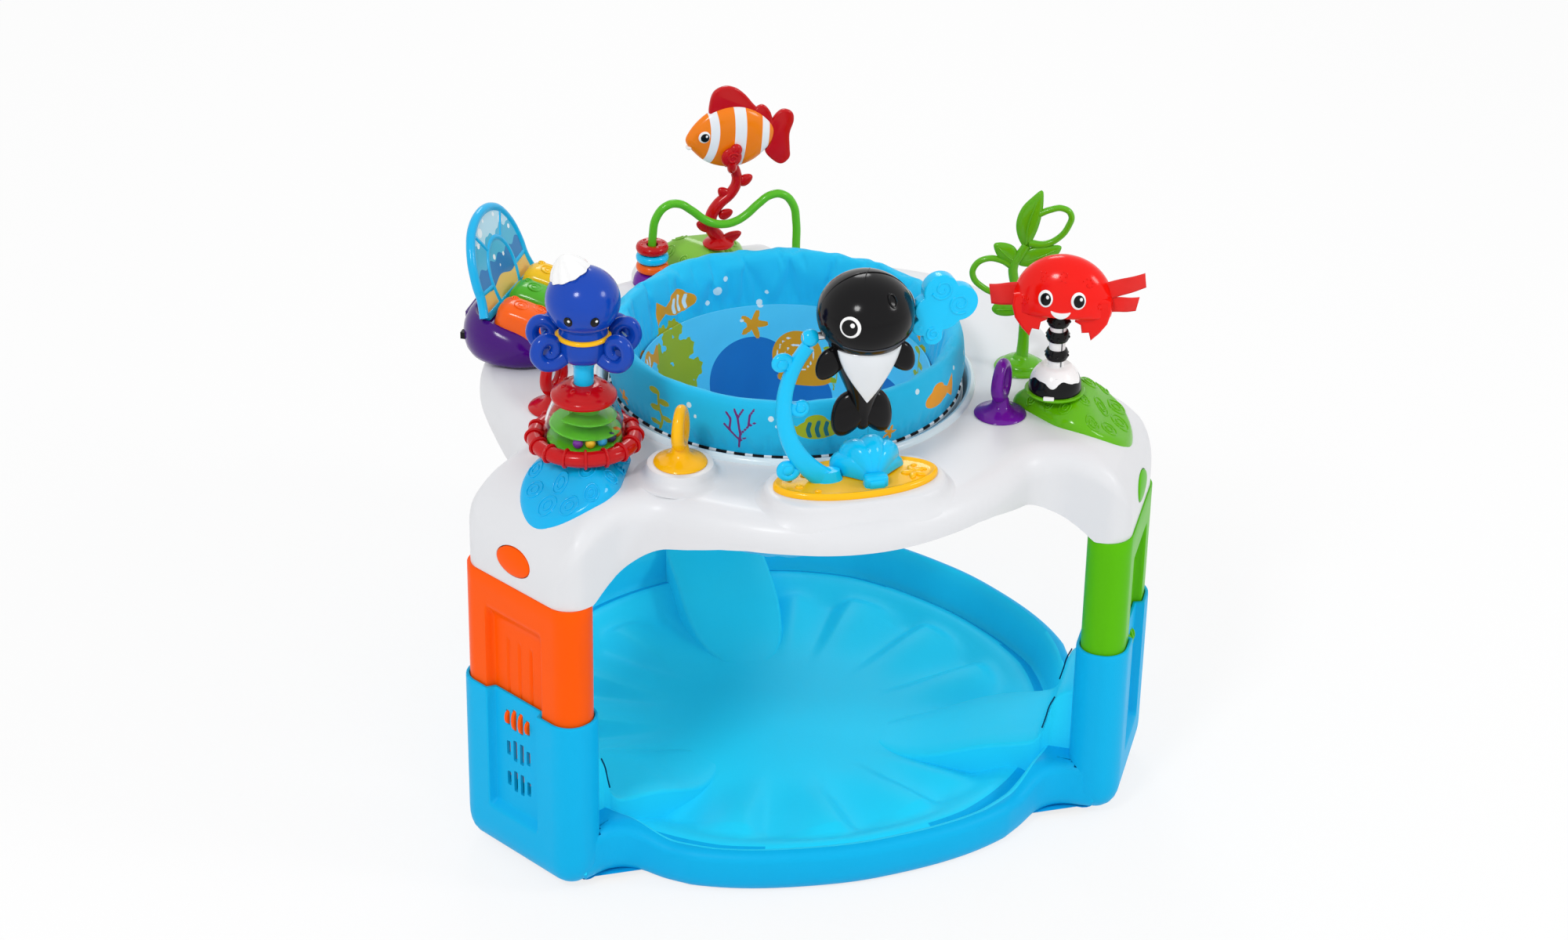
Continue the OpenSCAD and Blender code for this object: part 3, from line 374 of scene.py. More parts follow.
# moulded plastic: slow colour drift, a fine moulded grain, and gloss that wanders a little
def makeMouldGroup():
    group, given, target = newGroup(
        "mouldedSurface", {"Place": "Vector", "Colour": "Color", "Drift": "Float", "Roughness": "Float",
                           "Grain Scale": "Float", "Rub": "Float"},
        {"Colour": "Color", "Roughness": "Float", "Height": "Float"})
    cloud = noiseNode(group, Vector=given["Place"], Scale=9, Detail=3)
    fine = noiseNode(group, Vector=given["Place"], Scale=given["Grain Scale"], Detail=2)
    smear = noiseNode(group, Vector=given["Place"], Scale=38, Detail=5, Distortion=0.6)
    shade = mathNode(group, "MULTIPLY", mathNode(group, "SUBTRACT", cloud, 0.5), given["Drift"])
    shade = mathNode(group, "ADD", shade, 1.0)
    rub = mathNode(group, "MULTIPLY", mathNode(group, "SUBTRACT", smear, 0.5), given["Rub"])
    rub = mathNode(group, "ADD", rub, given["Roughness"], clamp=True)
    feed(group, target, {"Colour": scaled(group, given["Colour"], shade), "Roughness": rub, "Height": fine})
    return group


# woven cloth on a UV map in metres: over-and-under threads, with faded blotches and painted shade darkening each thread
# where it dips
def makeWeaveGroup():
    group, given, target = newGroup("wovenCloth", {"Place": "Vector", "Threads": "Float", "Fade": "Float"},
                                    {"Shade": "Float", "Height": "Float"})
    split = add(group, "SeparateXYZ", {0: given["Place"]})
    waves = [mathNode(group, "SINE", mathNode(group, "MULTIPLY", split[axis], given["Threads"])) for axis in ("X", "Y")]
    over = mathNode(group, "GREATER_THAN", mathNode(group, "MULTIPLY", *waves), 0.0)
    warp, weft = (mathNode(group, "ABSOLUTE", wave) for wave in waves)
    picked = add(group, "Mix", {"Factor": over, "A": warp, "B": weft})["Result"]
    blotch = noiseNode(group, Vector=given["Place"], Scale=26, Detail=4)
    worn = mathNode(group, "MULTIPLY", mathNode(group, "SUBTRACT", blotch, 0.5), given["Fade"])
    # painted shade: each thread darker towards its edges, between the threads
    thread = mathNode(group, "MULTIPLY", mathNode(group, "SUBTRACT", picked, 0.6), 0.16)
    shade = mathNode(group, "ADD", mathNode(group, "ADD", worn, thread), 1.0)
    feed(group, target, {"Shade": shade, "Height": picked})
    return group


mouldedSurface = makeMouldGroup()
wovenCloth = makeWeaveGroup()


def newMaterial(name):
    material = bpy.data.materials.new(name)
    material.use_nodes = True
    return material, material.node_tree, material.node_tree.nodes["Principled BSDF"]


def mouldNodes(tree, spec):
    return add(tree, "Group", {
        "Place": add(tree, "TexCoord")["Object"], "Colour": tint(spec["colour"]), "Drift": spec.get("drift", 0.06),
        "Roughness": spec.get("rough", 0.3), "Grain Scale": spec.get("grain", 900), "Rub": spec.get("rub", 0.12),
    }, node_tree=mouldedSurface)


# a printed colour, laid where its mask is above zero
def inkOver(tree, attribute, colour, code):
    mask = add(tree, "Attribute", attribute_name=attribute)["Fac"]
    edge = add(tree, "MapRange", {"Value": mask, "From Min": -0.2, "From Max": 0.2})[0]
    return add(tree, "Mix", {0: edge, 6: colour, 7: tint(code)}, data_type="RGBA")[2]


def plastic(name, spec):
    material, tree, shader = newMaterial(name)
    mould = mouldNodes(tree, spec)
    colour = mould["Colour"]
    for attribute, code in spec.get("layers", ()):
        colour = inkOver(tree, attribute, colour, code)
    feed(tree, shader, {
        "Base Color": colour, "Roughness": mould["Roughness"], "Metallic": spec.get("metal", 0.0),
        "Normal": bump(tree, mould["Height"], spec.get("bump", 0.06)), "Coat Weight": spec.get("coat", 0.2),
        "Coat Roughness": spec.get("coatRough", 0.12), "Specular IOR Level": spec.get("specular", 0.5)})
    if "glow" in spec:
        feed(tree, shader, {"Subsurface Weight": spec["glow"], "Subsurface Radius": (0.004, 0.004, 0.004)})
    return material


# woven cloth with printed inks; the weave follows the piece's own UV map
def clothFinish(name, spec):
    material, tree, shader = newMaterial(name)
    spread = add(tree, "UVMap", uv_map="weave")["UV"]
    weave = add(tree, "Group", {"Place": spread, "Threads": 4200, "Fade": 0.1}, node_tree=wovenCloth)
    colour = tint(spec["colour"])
    for attribute, code in spec["layers"]:
        colour = inkOver(tree, attribute, colour, code)
    # the weave's Shade carries faded blotches and painted shade between the threads
    feed(tree, shader, {
        "Base Color": scaled(tree, colour, weave["Shade"]), "Roughness": 0.7, "Specular IOR Level": 0.2,
        "Sheen Weight": 0.15, "Normal": bump(tree, weave["Height"], 0.35, 0.0004)})
    return material


def clearPlastic(name, spec):
    material, tree, shader = newMaterial(name)
    mould = mouldNodes(tree, spec)
    feed(tree, shader, {
        "Base Color": tint(spec["colour"]), "Transmission Weight": 1.0, "IOR": spec["ior"],
        "Roughness": mould["Roughness"], "Normal": bump(tree, mould["Height"], 0.01)})
    return material


gloss = {"rough": 0.16, "coat": 0.08, "coatRough": 0.04, "bump": 0.02, "rub": 0.05, "specular": 0.22}
satin = {"rough": 0.36, "coat": 0.0, "bump": 0.08, "rub": 0.1, "specular": 0.08}
glossy = {
    "padBlue": "#04B2EC", "padGreen": "#62B408", "padLime": "#86C440", "octoBlue": "#0B43B0",
    "bandYellow": "#FFBE0C", "skyBlue": "#0CC4F8", "beadPurple": "#7A1FA0", "beadYellow": "#F8C018",
    "beadSky": "#2AA6E0", "beadOrange": "#F47A10", "beadInk": "#24345C", "whaleWhite": "#E6EAEE",
    "loopPurple": "#6C149A", "pureWhite": "#F4F4F4", "coralRed": "#C6060F", "pianoPurple": "#420474",
    "keyOrange": "#F8620C", "keyGreen": "#4CAE24", "keyYellow": "#F6C21C", "fanBlue": "#17B4EA",
}
# slotDark is painted shade, laid along the ramps' seams
matt = {"slotDark": "#0A3E5E", "cellGrey": "#4A4E55", "boardGreen": "#1E6B3C"}
finishSpecs = {name: {"colour": code, **gloss} for name, code in glossy.items()}
finishSpecs.update({name: {"colour": code, **satin} for name, code in matt.items()})
finishSpecs.update({
    "trayWhite": {"colour": "#E0E1E4", **satin, "coat": 0.06, "drift": 0.02, "rub": 0.02, "specular": 0.22,
                  "bump": 0.02},
    "rimIce": {"colour": "#DCEBF2", **gloss, "glow": 0.25, "rub": 0.02},
    "baseBlue": {"colour": "#0CB4EA", **satin, "rough": 0.42, "bump": 0.16},
    # the base's blue painted lighter for the dish's floor, its inner faces and the ramps: painted light against the
    # tray's shadow over them
    "floorBlue": {"colour": "#26DCFF", **satin, "rough": 0.42, "bump": 0.16},
    "legOrange": {"colour": "#FF5A00", **satin, "rough": 0.32},
    "legGreen": {"colour": "#5ABA08", **satin, "rough": 0.32},
    "legPurple": {"colour": "#6A1896", **satin, "rough": 0.32},
    "ringRed": {"colour": "#C2070E", **gloss, "glow": 0.1},
    "spiralGreen": {"colour": "#5CBE22", **gloss, "glow": 0.12},
    "whaleBlack": {"colour": "#0B0A0C", **gloss, "rough": 0.14, "specular": 0.16, "coat": 0.04},
    "crabRed": {"colour": "#F2140A", **gloss, "specular": 0.18},
    "hemBlue": {"colour": "#1292D2", "rough": 0.7, "coat": 0.0, "bump": 0.25, "grain": 2600, "specular": 0.15},
    "ribbonRed": {"colour": "#E8140A", "rough": 0.55, "coat": 0.0, "bump": 0.3, "grain": 2600},
    "inkBlack": {"colour": "#0C0C0E", **gloss, "specular": 0.16},
    "weedGreen": {"colour": "#5FB214", **gloss, "glow": 0.1},
    "springSteel": {"colour": "#C9CBCF", "rough": 0.28, "coat": 0.0, "bump": 0.02, "metal": 1.0},
    "fishSkin": {"colour": "#F9820E", **gloss, "layers": [("bandInk", "#F2F2F4")]},
    "pipingCord": {"colour": "#16161A", "rough": 0.6, "coat": 0.0, "bump": 0.25, "grain": 2600, "specular": 0.1,
                   "layers": [("dashInk", "#F2F2F2")]},
    "fanPicture": {"colour": "#BFE6F4", **gloss,
                   "layers": [("seaInk", "#4FBBDD"), ("deepInk", "#1C7FC0"), ("sandInk", "#E9C878"),
                              ("bubbleInk", "#F4FBFD")]},
})
seaInks = [("tealInk", "#1478C4"), ("plumInk", "#6E2A78"), ("limeInk", "#A8B81E"), ("goldInk", "#F0A01C"),
           ("foamInk", "#E8F6FA")]
outInks = [("plumInk", "#6E2A78"), ("limeInk", "#A8B41E"), ("tealInk", "#0E6E7E"), ("goldInk", "#EFA01A"),
           ("foamInk", "#D8F2FA")]
clothSpecs = {
    "collarCloth": {"colour": "#1AC2F2", "layers": outInks},
    # the bag's light blue cloth, painted lighter still to offset the shade inside the seat
    "bagCloth": {"colour": "#58D4FA", "layers": seaInks},
}
clearSpecs = {"domeClear": {"colour": "#FAFDFD", "rough": 0.02, "rub": 0.01, "ior": 1.2}}
makers = ((finishSpecs, plastic), (clothSpecs, clothFinish), (clearSpecs, clearPlastic))
finishes = {}


# each finish is made the first time a piece asks for it
def finish(name):
    if name not in finishes:
        specs, maker = next(row for row in makers if name in row[0])
        finishes[name] = maker(name, specs[name])
    return finishes[name]


print("finishes ready")

photo = {"azimuth": -16, "elevation": 28.6, "roll": 1.1, "place": (-0.90670, -3.16377, 2.11796), "lens": 81.05}


def setCamera():
    a, e, roll = rad(photo["azimuth"]), rad(photo["elevation"]), rad(photo["roll"])
    right = Vector((cos(a), sin(a), 0))
    back = Vector((sin(a) * cos(e), -cos(a) * cos(e), sin(e)))
    up = back.cross(right)
    right, up = right * cos(roll) + up * sin(roll), up * cos(roll) - right * sin(roll)
    data = bpy.data.cameras.new("camera")
    data.sensor_width = 36
    data.lens = photo["lens"]
    data.clip_end = 60
    camera = bpy.data.objects.new("camera", data)
    scene.collection.objects.link(camera)
    grid = Matrix((right, up, back)).transposed().to_4x4()
    camera.matrix_world = Matrix.Translation(photo["place"]) @ grid
    scene.camera = camera


def areaLight(name, spot, aim, width, power):
    data = bpy.data.lights.new(name, "AREA")
    data.shape = "DISK"
    data.size = width
    data.energy = power
    lamp = bpy.data.objects.new(name, data)
    scene.collection.objects.link(lamp)
    lamp.location = spot
    lamp.rotation_euler = (Vector(aim) - Vector(spot)).to_track_quat("-Z", "Y").to_euler()


studio = {"world": 0.68, "floor": "#F6F6F6", "whiteShare": 0.8, "floorSize": 24}
# place, aim, width and power of each lamp
lamps = {"keyLight": ((-1.9, -2.3, 3.2), (0, 0, 0.3), 0.8, 50), "fillLight": ((2.6, -1.6, 2.2), (0, 0, 0.35), 0.9, 24),
         "backLight": ((0.6, 2.8, 2.8), (0, 0, 0.4), 1.2, 22)}


def seenDirectly(tree):
    path = add(tree, "LightPath")
    seen = mathNode(tree, "MAXIMUM", path["Is Camera Ray"], path["Is Glossy Ray"])
    return mathNode(tree, "MAXIMUM", seen, path["Is Transmission Ray"])


def setStudio():
    scene.view_settings.view_transform = "Standard"
    world = bpy.data.worlds.new("studio")
    scene.world = world
    world.use_nodes = True
    tree = world.node_tree
    level = add(tree, "MapRange", {"Value": seenDirectly(tree), "To Min": studio["world"]})
    feed(tree, tree.nodes["Background"], {"Color": (1, 1, 1, 1), "Strength": level[0]})

    bm = bmesh.new()
    bmesh.ops.create_grid(bm, x_segments=1, y_segments=1, size=studio["floorSize"])
    mesh = bpy.data.meshes.new("floor")
    bm.to_mesh(mesh)
    bm.free()
    floor = bpy.data.objects.new("floor", mesh)
    scene.collection.objects.link(floor)
    material, tree, shader = newMaterial("studioFloor")
    dull = feed(tree, shader, {"Base Color": tint(studio["floor"]), "Roughness": 0.9, "Specular IOR Level": 0.0})
    share = mathNode(tree, "MULTIPLY", seenDirectly(tree), studio["whiteShare"])
    blend = add(tree, "MixShader", {0: share, 1: dull[0], 2: add(tree, "Emission")[0]})
    feed(tree, tree.nodes["Material Output"], {"Surface": blend[0]})
    mesh.materials.append(material)
    for name, lamp in lamps.items():
        areaLight(name, *lamp)


setCamera()
setStudio()
print("camera and studio ready")


# tray: one moulded skin from the seat well out over the deck, the toy lobes and the three shoulders
legAngles = {"left": 210, "right": 330, "back": 90}
legFinish = {"left": "legOrange", "right": "legGreen", "back": "legPurple"}
tray = {"fan": 0.35, "deck": 436, "seam": 335, "round": 27, "frontRound": 6, "wall": 4, "rim": 197,
        "front": 383, "half": 79, "flank": 84, "arcFrom": 303, "arc": 80, "lobe": 301, "bulge": 25,
        "lobeSpread": 44, "points": 720, "deckRings": 26, "flankRound": 46, "cornerRound": 26, "stage": (184, 92),
        "stageAt": -258, "bossAt": (242, 229)}
# lower edge of the tray, by distance along the nearest leg's line: lobes, flanks, then the boots
skirtLine = [(222, 404), (248, 402.5), (260, 398.5), (270, 392), (280, 384.5), (290, 377), (300, 370), (310, 364),
             (320, 358), (330, 351), (338, 344.5), (344, 339), (349, 335)]


def nearestLeg(p):
    return max(legAngles.values(), key=lambda a: p[0] * cos(rad(a)) + p[1] * sin(rad(a)))


def localX(p):
    a = rad(nearestLeg(p))
    return p[0] * cos(a) + p[1] * sin(a)


def trayTop(p):
    x = min(localX(p), tray["front"])
    if x <= tray["arcFrom"]:
        return tray["deck"]
    return tray["deck"] - tray["arc"] + sqrt(max(tray["arc"] ** 2 - (x - tray["arcFrom"]) ** 2, 0))


def lobeRadius(phi):
    away = min(abs(60 - abs(phi)) / tray["lobeSpread"], 1)
    return tray["lobe"] + tray["bulge"] * (0.5 + 0.5 * cos(pi * away))


def lobeHeight(p):
    phi = degrees(atan2(p.y, p.x)) - nearestLeg(p)
    inset = max(lobeRadius((phi + 180) % 360 - 180) - hypot(p.x, p.y), 0)
    bend = tray["round"]
    return tray["deck"] - bend + sqrt(bend ** 2 - max(bend - inset, 0) ** 2)


def threeSided(perLeg):
    corners = []
    for angle in sorted(legAngles.values()):
        c, s = cos(rad(angle)), sin(rad(angle))
        corners += [(x * c - t * s, x * s + t * c, r) for x, t, r in perLeg]
    return corners


def onArc(phi, radius):
    return (radius * cos(rad(phi)), radius * sin(rad(phi)), 0)


def outwardNormals(line):
    n = len(line)
    out = []
    for i in range(n):
        along = (line[(i + 1) % n] - line[i - 1]).normalized()
        out.append(Vector((along.y, -along.x, 0)))
    return out


def skirtLow(x):
    for (x1, z1), (x2, z2) in zip(skirtLine, skirtLine[1:]):
        if x < x2:
            return z1 + (z2 - z1) * max(x - x1, 0) / (x2 - x1)
    return tray["seam"]


def trayRings():
    t = tray
    joint = sqrt(t["lobe"] ** 2 - t["flank"] ** 2)
    side = [onArc(phi, lobeRadius(phi)) for phi in range(-60, -24, 2)]
    perLeg = side + [(joint, -t["flank"], t["flankRound"]), (t["front"], -t["half"], t["cornerRound"]),
                     (t["front"], t["half"], t["cornerRound"]), (joint, t["flank"], t["flankRound"])]
    perLeg += [onArc(phi, lobeRadius(phi)) for phi in range(26, 60, 2)]
    edge = evenly(roundedCorners(threeSided(perLeg)), t["points"])
    normals = outwardNormals(edge)
    columns = []
    for p, n in zip(edge, normals):
        a = rad(nearestLeg(p))
        x = localX(p)
        ahead = max(n.x * cos(a) + n.y * sin(a), 0) * smoothStep(330, 372, x)
        inset = t["round"] - 9 * smoothStep(296, 376, x)      # stays below the front corners' radius
        bend = inset + (t["frontRound"] - inset) * ahead
        inner = p - n * (inset + 1.5)
        swing = (atan2(inner.y, inner.x) - a + pi) % (2 * pi) - pi
        swing = a + swing * (1 - t["fan"] * smoothStep(285, 372, x))     # a flank's columns fan out from the leg's line
        start = Vector((cos(swing), sin(swing), 0)) * t["rim"]
        column = []
        for k in range(t["deckRings"] + 1):
            q = start.lerp(inner, 1 - (1 - k / t["deckRings"]) ** 1.5)
            column.append((q.x, q.y, trayTop(q)))
        for k in range(9):
            a = pi / 2 * k / 8
            q = p - n * bend * (1 - sin(a))
            column.append((q.x, q.y, trayTop(q) - bend * (1 - cos(a))))
        low = skirtLow(x)
        high = column[-1][2]
        column += [(p.x, p.y, high + (low - high) * k / 6) for k in range(1, 7)]
        columns.append(column)
    return list(zip(*columns))


def archSlab():
    arc = [(x - 1, z) for x, z in reversed(skirtLine) if x > 255]
    back = [(x + 2.5, z + 3.5) for x, z in reversed(arc)]
    return slab(arc + back, 2 * (tray["half"] + 1), 0)


lockOval = {"z": 364, "wide": 48, "high": 30, "slack": 0.7}


def buildTray():
    skin = faceUp(loft(trayRings()))
    obj = piece("tray_shell", "tray", [(skin, Matrix(), "trayWhite")], "tray", sharp=50)
    wall(obj, tray["wall"])
    oval = ellipse(lockOval["wide"] / 2 + lockOval["slack"], lockOval["high"] / 2 + lockOval["slack"], 64)
    cutOut(obj, [(slab(oval, 60, 0), legFrame(a, tray["front"], lockOval["z"]) @ facing) for a in legAngles.values()])
    well = [(198.6, 435.5), (198.2, 438), (196.5, 441), (194, 442), (191.5, 441), (190.2, 438.5), (190, 436),
            (190, 386), (188, 384), (152, 384), (150, 383), (150, 381), (151, 380), (193, 380), (194, 382),
            (194, 434), (198.6, 435.5)]
    piece("tray_well", "tray", [(lathe(well, 160), Matrix(), "rimIce")])
    boss = [(0, 450), (30, 450), (33, 449.4), (34.4, 447.5), (35.4, 443), (37.4, 439), (41, 436.8), (47, 436),
            (47, 434), (0, 434)]
    stage = []
    for grow, z in ((-40, 449), (-4, 449), (-1.8, 448.3), (-0.4, 446.6), (0.6, 443.5), (2.4, 440), (5.5, 437.2),
                    (10, 435.6), (14, 434.4), (14, 430)):
        long, wide = (v + 2 * grow for v in tray["stage"])
        line = [p + Vector((0, tray["stageAt"], 0)) for p in roundedBox(long, wide, wide / 2 * 0.999, 120)]
        settle = min(max((446.6 - z) / 9, 0), 1)             # the foot follows the deck's rounded edge
        stage.append([(p.x, p.y, z + settle * (lobeHeight(p) - tray["deck"])) for p in line])
    bosses = coloured("trayWhite", (lathe(boss, 72), place(*tray["bossAt"])), (solid(stage), Matrix()))
    piece("tray_bosses", "tray", bosses)
    piece("tray_arches", "tray", [(archSlab(), turnZ(a) @ upright, "trayWhite") for a in legAngles.values()])
    bpy.context.view_layer.update()
    return obj


# base: floor dish with shell-like waves, rolled lip and curb, three towers and three ramps
leg = {"line": 361.5, "half": 23.5, "wide": 81, "corner": 22, "recess": 9, "grooves": (-17, 0, 17), "points": 320}
base = {"curb": 48, "bend": 11, "radius": 315, "flare": 14, "neckRise": 16, "backRise": 24, "waves": 15,
        "waveHeight": 15, "points": 720, "socket": 25, "neckGap": 3, "recessLow": 62, "rows": (175, 138, 101),
        "ribs": ((-15, 16), (-5, 24), (5, 24), (15, 16)), "ribWide": 4.6}
floorSteps = [10, 40, 70, 95, 110, 122, 134, 146, 158, 170, 181, 191, 200, 208, 216, 223, 230, 235]
dishSteps = [(240, 17.5), (247, 20.5), (254, 25), (260, 29), (265, 32), (269, 33.3), (273, 33.2), (277, 31.4),
             (280, 29), (282.5, 27.8), (285, 29.5), (287, 34), (289.5, 40), (292.5, 44.6), (296, 47), (300, 48)]


def fromLeg(angle):
    return min(abs((angle - a + 180) % 360 - 180) for a in legAngles.values())


def waveAt(angle):
    s = (angle / 360 * base["waves"] + 0.5) % 1
    crest = smoothStep(0, 0.68, s) * (1 - smoothStep(0.72, 1, s))
    return crest * smoothStep(13, 22, fromLeg(angle))


def floorHeight(r, angle):
    lift = base["waveHeight"] * waveAt(angle) * smoothStep(105, 236, r) * (1 - smoothStep(238, 262, r))
    return 14 + 2.2 * smoothStep(150, 238, r) + lift


def dishRadius(phi):
    return base["radius"] + base["flare"] * (1 - smoothStep(20, 55, abs(phi)))


# distance of a point from the nearest leg's rounded section
def legGap(p):
    q = turnZ(-nearestLeg(p)) @ Vector((p[0], p[1], 0))
    deep, wide = leg["half"] - leg["corner"], leg["wide"] - leg["corner"]
    return hypot(max(abs(q.x - leg["line"]) - deep, 0), max(abs(q.y) - wide, 0)) - leg["corner"]


# where a neck runs into its tower it steps down inside the tower's wall, clear of the lowered leg
def neckSteps(start, inner):
    if legGap(inner) > base["neckGap"]:
        return 0.33, 0.67, 1
    near, far = 0.0, 1.0
    for _ in range(30):
        mid = (near + far) / 2
        near, far = (mid, far) if legGap(start.lerp(inner, mid)) > base["neckGap"] else (near, mid)
    return near * 0.5, near, min(near + 0.03, 1)


def baseRings():
    side = [onArc(phi, dishRadius(phi)) for phi in range(-60, -26, 2)]
    joint = sqrt(dishRadius(16) ** 2 - 86 ** 2)
    perLeg = side + [(joint, -86, 42), (368, -84.2, 4), (368, 84.2, 4), (joint, 86, 42)]
    perLeg += [onArc(phi, dishRadius(phi)) for phi in range(28, 60, 2)]
    edge = evenly(roundedCorners(threeSided(perLeg)), base["points"])
    normals = outwardNormals(edge)
    sunk = base["socket"] - 3
    columns = []
    for p, n in zip(edge, normals):
        angle = degrees(atan2(p.y, p.x))
        out = Vector((cos(rad(angle)), sin(rad(angle)), 0))
        settled = base["backRise"] if p.y > -150 else 0
        rise = base["neckRise"] + (settled - base["neckRise"]) * smoothStep(14.5, 25, fromLeg(angle))
        swollen = min(max(p.length - 311, 0), 14)
        column = []
        for r in floorSteps:
            column.append((out.x * r, out.y * r, floorHeight(r, angle)))
        for r, z in dishSteps:
            wave = base["waveHeight"] * waveAt(angle) * (1 - smoothStep(238, 262, r))
            top = z + wave * (1 - smoothStep(236, 262, r))
            wider = r + swollen * smoothStep(244, 284, r)
            column.append((out.x * wider, out.y * wider, top + rise * smoothStep(284, 299, r)))
        bend = base["bend"]
        inner = p - n * bend
        start = out * (300 + swollen)
        for f in neckSteps(start, inner):
            q = start.lerp(inner, f)
            column.append((q.x, q.y, base["curb"] + rise))
        for k in range(1, 7):
            a = pi / 2 * k / 6
            q = p - n * bend * (1 - sin(a))
            column.append((q.x, q.y, base["curb"] + rise - bend * (1 - cos(a))))
        lift = 9 * (1 - smoothStep(13, 24, fromLeg(angle)))      # the lower edge rises at each neck
        for z, draw in ((28, 0), (19, 0.5), (11.5, 2.2), (6, 5), (2.2, 9), (0.3, 14), (0, 20)):
            q = p - n * draw
            column.append((q.x, q.y, z + lift * (1 - z / 40)))
        columns.append([(x, y, min(z, sunk) if legGap((x, y)) < base["neckGap"] else z) for x, y, z in column])
    return list(zip(*columns))


# section of a leg or tower at one height: rounded block with the thumb recess in its outer face
def legRing(grow, z, depth, grooves=0.0):
    half, wide, corner = leg["half"] + grow, leg["wide"] + grow, max(leg["corner"] + grow, 1)
    block = [(-half, -wide, corner), (half, -wide, corner), (half, wide, corner), (-half, wide, corner)]
    ring = []
    for p in evenly(roundedCorners(block), leg["points"]):
        x = p.x
        if x > half - 1:
            x -= depth * (1 - smoothStep(37.5 - grow, 42 - grow, abs(p.y)))
            for t in leg["grooves"]:
                x -= grooves * (1 - smoothStep(0.9, 2.2, abs(p.y - t)))
        ring.append((leg["line"] + x, p.y, z))
    return ring


def towerShape():
    low, deep = base["recessLow"], leg["recess"]
    rings = [legRing(grow, z, 0) for grow, z in ((-20, 8), (-13, 8.8), (-7, 11), (-2.4, 15), (0.8, 20), (2.9, 26),
                                                 (4.1, 33), (4.5, 42), (4.5, 58))]
    for z in (60, 61.5, 63, 64.5, 66, 67.5, 69, 71, 90, 115, 140, 165, 190, 199):
        rings.append(legRing(4.5, z, deep * smoothStep(low - 2, low + 8, z)))
    for grow, z in ((4.3, 201.6), (3.7, 202.7), (2.6, 203), (1.4, 202.8), (0.7, 202), (0.5, 200), (0.5, 120),
                    (0.5, base["socket"])):
        rings.append(legRing(grow, z, deep))
    return solid(rings)


def box(x, y, z, edge):
    bm = bmesh.new()
    bmesh.ops.create_cube(bm, size=1)
    bmesh.ops.scale(bm, vec=(x, y, z), verts=bm.verts)
    bmesh.ops.bevel(bm, geom=bm.edges[:], offset=edge, offset_type="OFFSET", segments=2, profile=0.5,
                    affect="EDGES", material=-1, clamp_overlap=True)
    return bm


# ramp from a tower down to the floor: a short block, a steep step and a leaf-ended tail
ramp = {"half": 56, "narrow": 222, "tip": 108, "low": 8, "sections": 72,
        "line": [(340, 136), (331, 135), (322, 132), (314, 124.5), (309, 112), (306, 98), (302.6, 84), (297.6, 73),
                 (290, 67), (276, 62.5), (255, 57.5), (235, 51.5), (215, 44), (195, 35), (175, 26.5), (155, 20),
                 (135, 16), (118, 14), (108.4, 13)]}


def rampHalf(x, z):
    narrow = min(max((ramp["narrow"] - x) / (ramp["narrow"] - ramp["tip"]), 0), 1)
    return (ramp["half"] - 4 * smoothStep(66, 84, z)) * sqrt(1 - narrow ** 2) + 0.3


def rampShape():
    rings = []
    for p in through([(x, z, 0) for x, z in ramp["line"]], False, ramp["sections"]):
        x, z = p.x, p.y
        half = rampHalf(x, z)
        edge = min(4, half * 0.4, (z - ramp["low"]) * 0.5)
        flat = half - edge
        line = [(-half, ramp["low"]), (-half, z - edge), (-half + edge * 0.3, z - edge * 0.3), (-flat, z)]
        line += [(flat * s, z) for s in (-0.6, -0.2, 0.2, 0.6)]
        line += [(flat, z), (half - edge * 0.3, z - edge * 0.3), (half, z - edge), (half, ramp["low"])]
        rings.append([(x, t, h) for t, h in line])
    return solid(rings)


# fine panel line down the step's edge, dark blue as painted shade of the seam there
def rampSeamShade(side):
    line = [(x - 1.2, side * (rampHalf(x, z) - 1.6), z) for x, z in ramp["line"][3:7]]
    return tube(line, 0.8, 4)


def buildBase():
    dish = piece("base_dish", "base", [(solid(baseRings()), Matrix(), "baseBlue")], "base", sharp=55)
    # the floor and inner faces take the painted-lighter copy of the base's blue, against the tray's shadow
    dish.data.materials.append(finish("floorBlue"))
    for face in dish.data.polygons:
        inward = face.normal.x * face.center.x + face.normal.y * face.center.y < -0.02
        if (inward or hypot(face.center.x, face.center.y) < 0.2825) and face.center.z > 0.005:
            face.material_index = 1
    for side, angle in legAngles.items():
        tower = piece("tower_" + side, "base", [(towerShape(), turnZ(angle), "baseBlue")], sharp=50)
        cutOut(tower, [(box(16, base["ribWide"] + 0.8, high + 0.8, 1.4), legFrame(angle, 380, z) @ move(0, t, 0))
                       for z in base["rows"] for t, high in base["ribs"]])
    # the ramps take the same painted-lighter blue
    parts = [(rampShape(), turnZ(a), "floorBlue") for a in legAngles.values()]
    # thin dark lines down the steps' edges: painted shade in the seams
    parts += [(rampSeamShade(side), turnZ(a), "slotDark") for a in legAngles.values() for side in (-1, 1)]
    piece("base_ramps", "base", parts, sharp=50)


# legs with a thumb recess and three grooves, spring latches and oval lock buttons
def legShape():
    deep = leg["recess"]
    rings = [legRing(grow, z, deep) for grow, z in ((-2, 100), (0, 101.5), (0, 150))]
    for z in (196, 230, 250, 258, 263, 266, 268, 270, 274, 280, 284, 287, 289.5, 292, 294.5, 297, 299.5, 302):
        rings.append(legRing(0, z, deep * (1 - smoothStep(283, 301, z)), 1.6 * (1 - smoothStep(262, 269, z))))
    for grow, z in ((0, 318), (0, 333.6), (-0.6, 334.8), (-18, 335), (-18, 350), (-18, 374)):
        rings.append(legRing(grow, z, 0))
    return solid(rings)


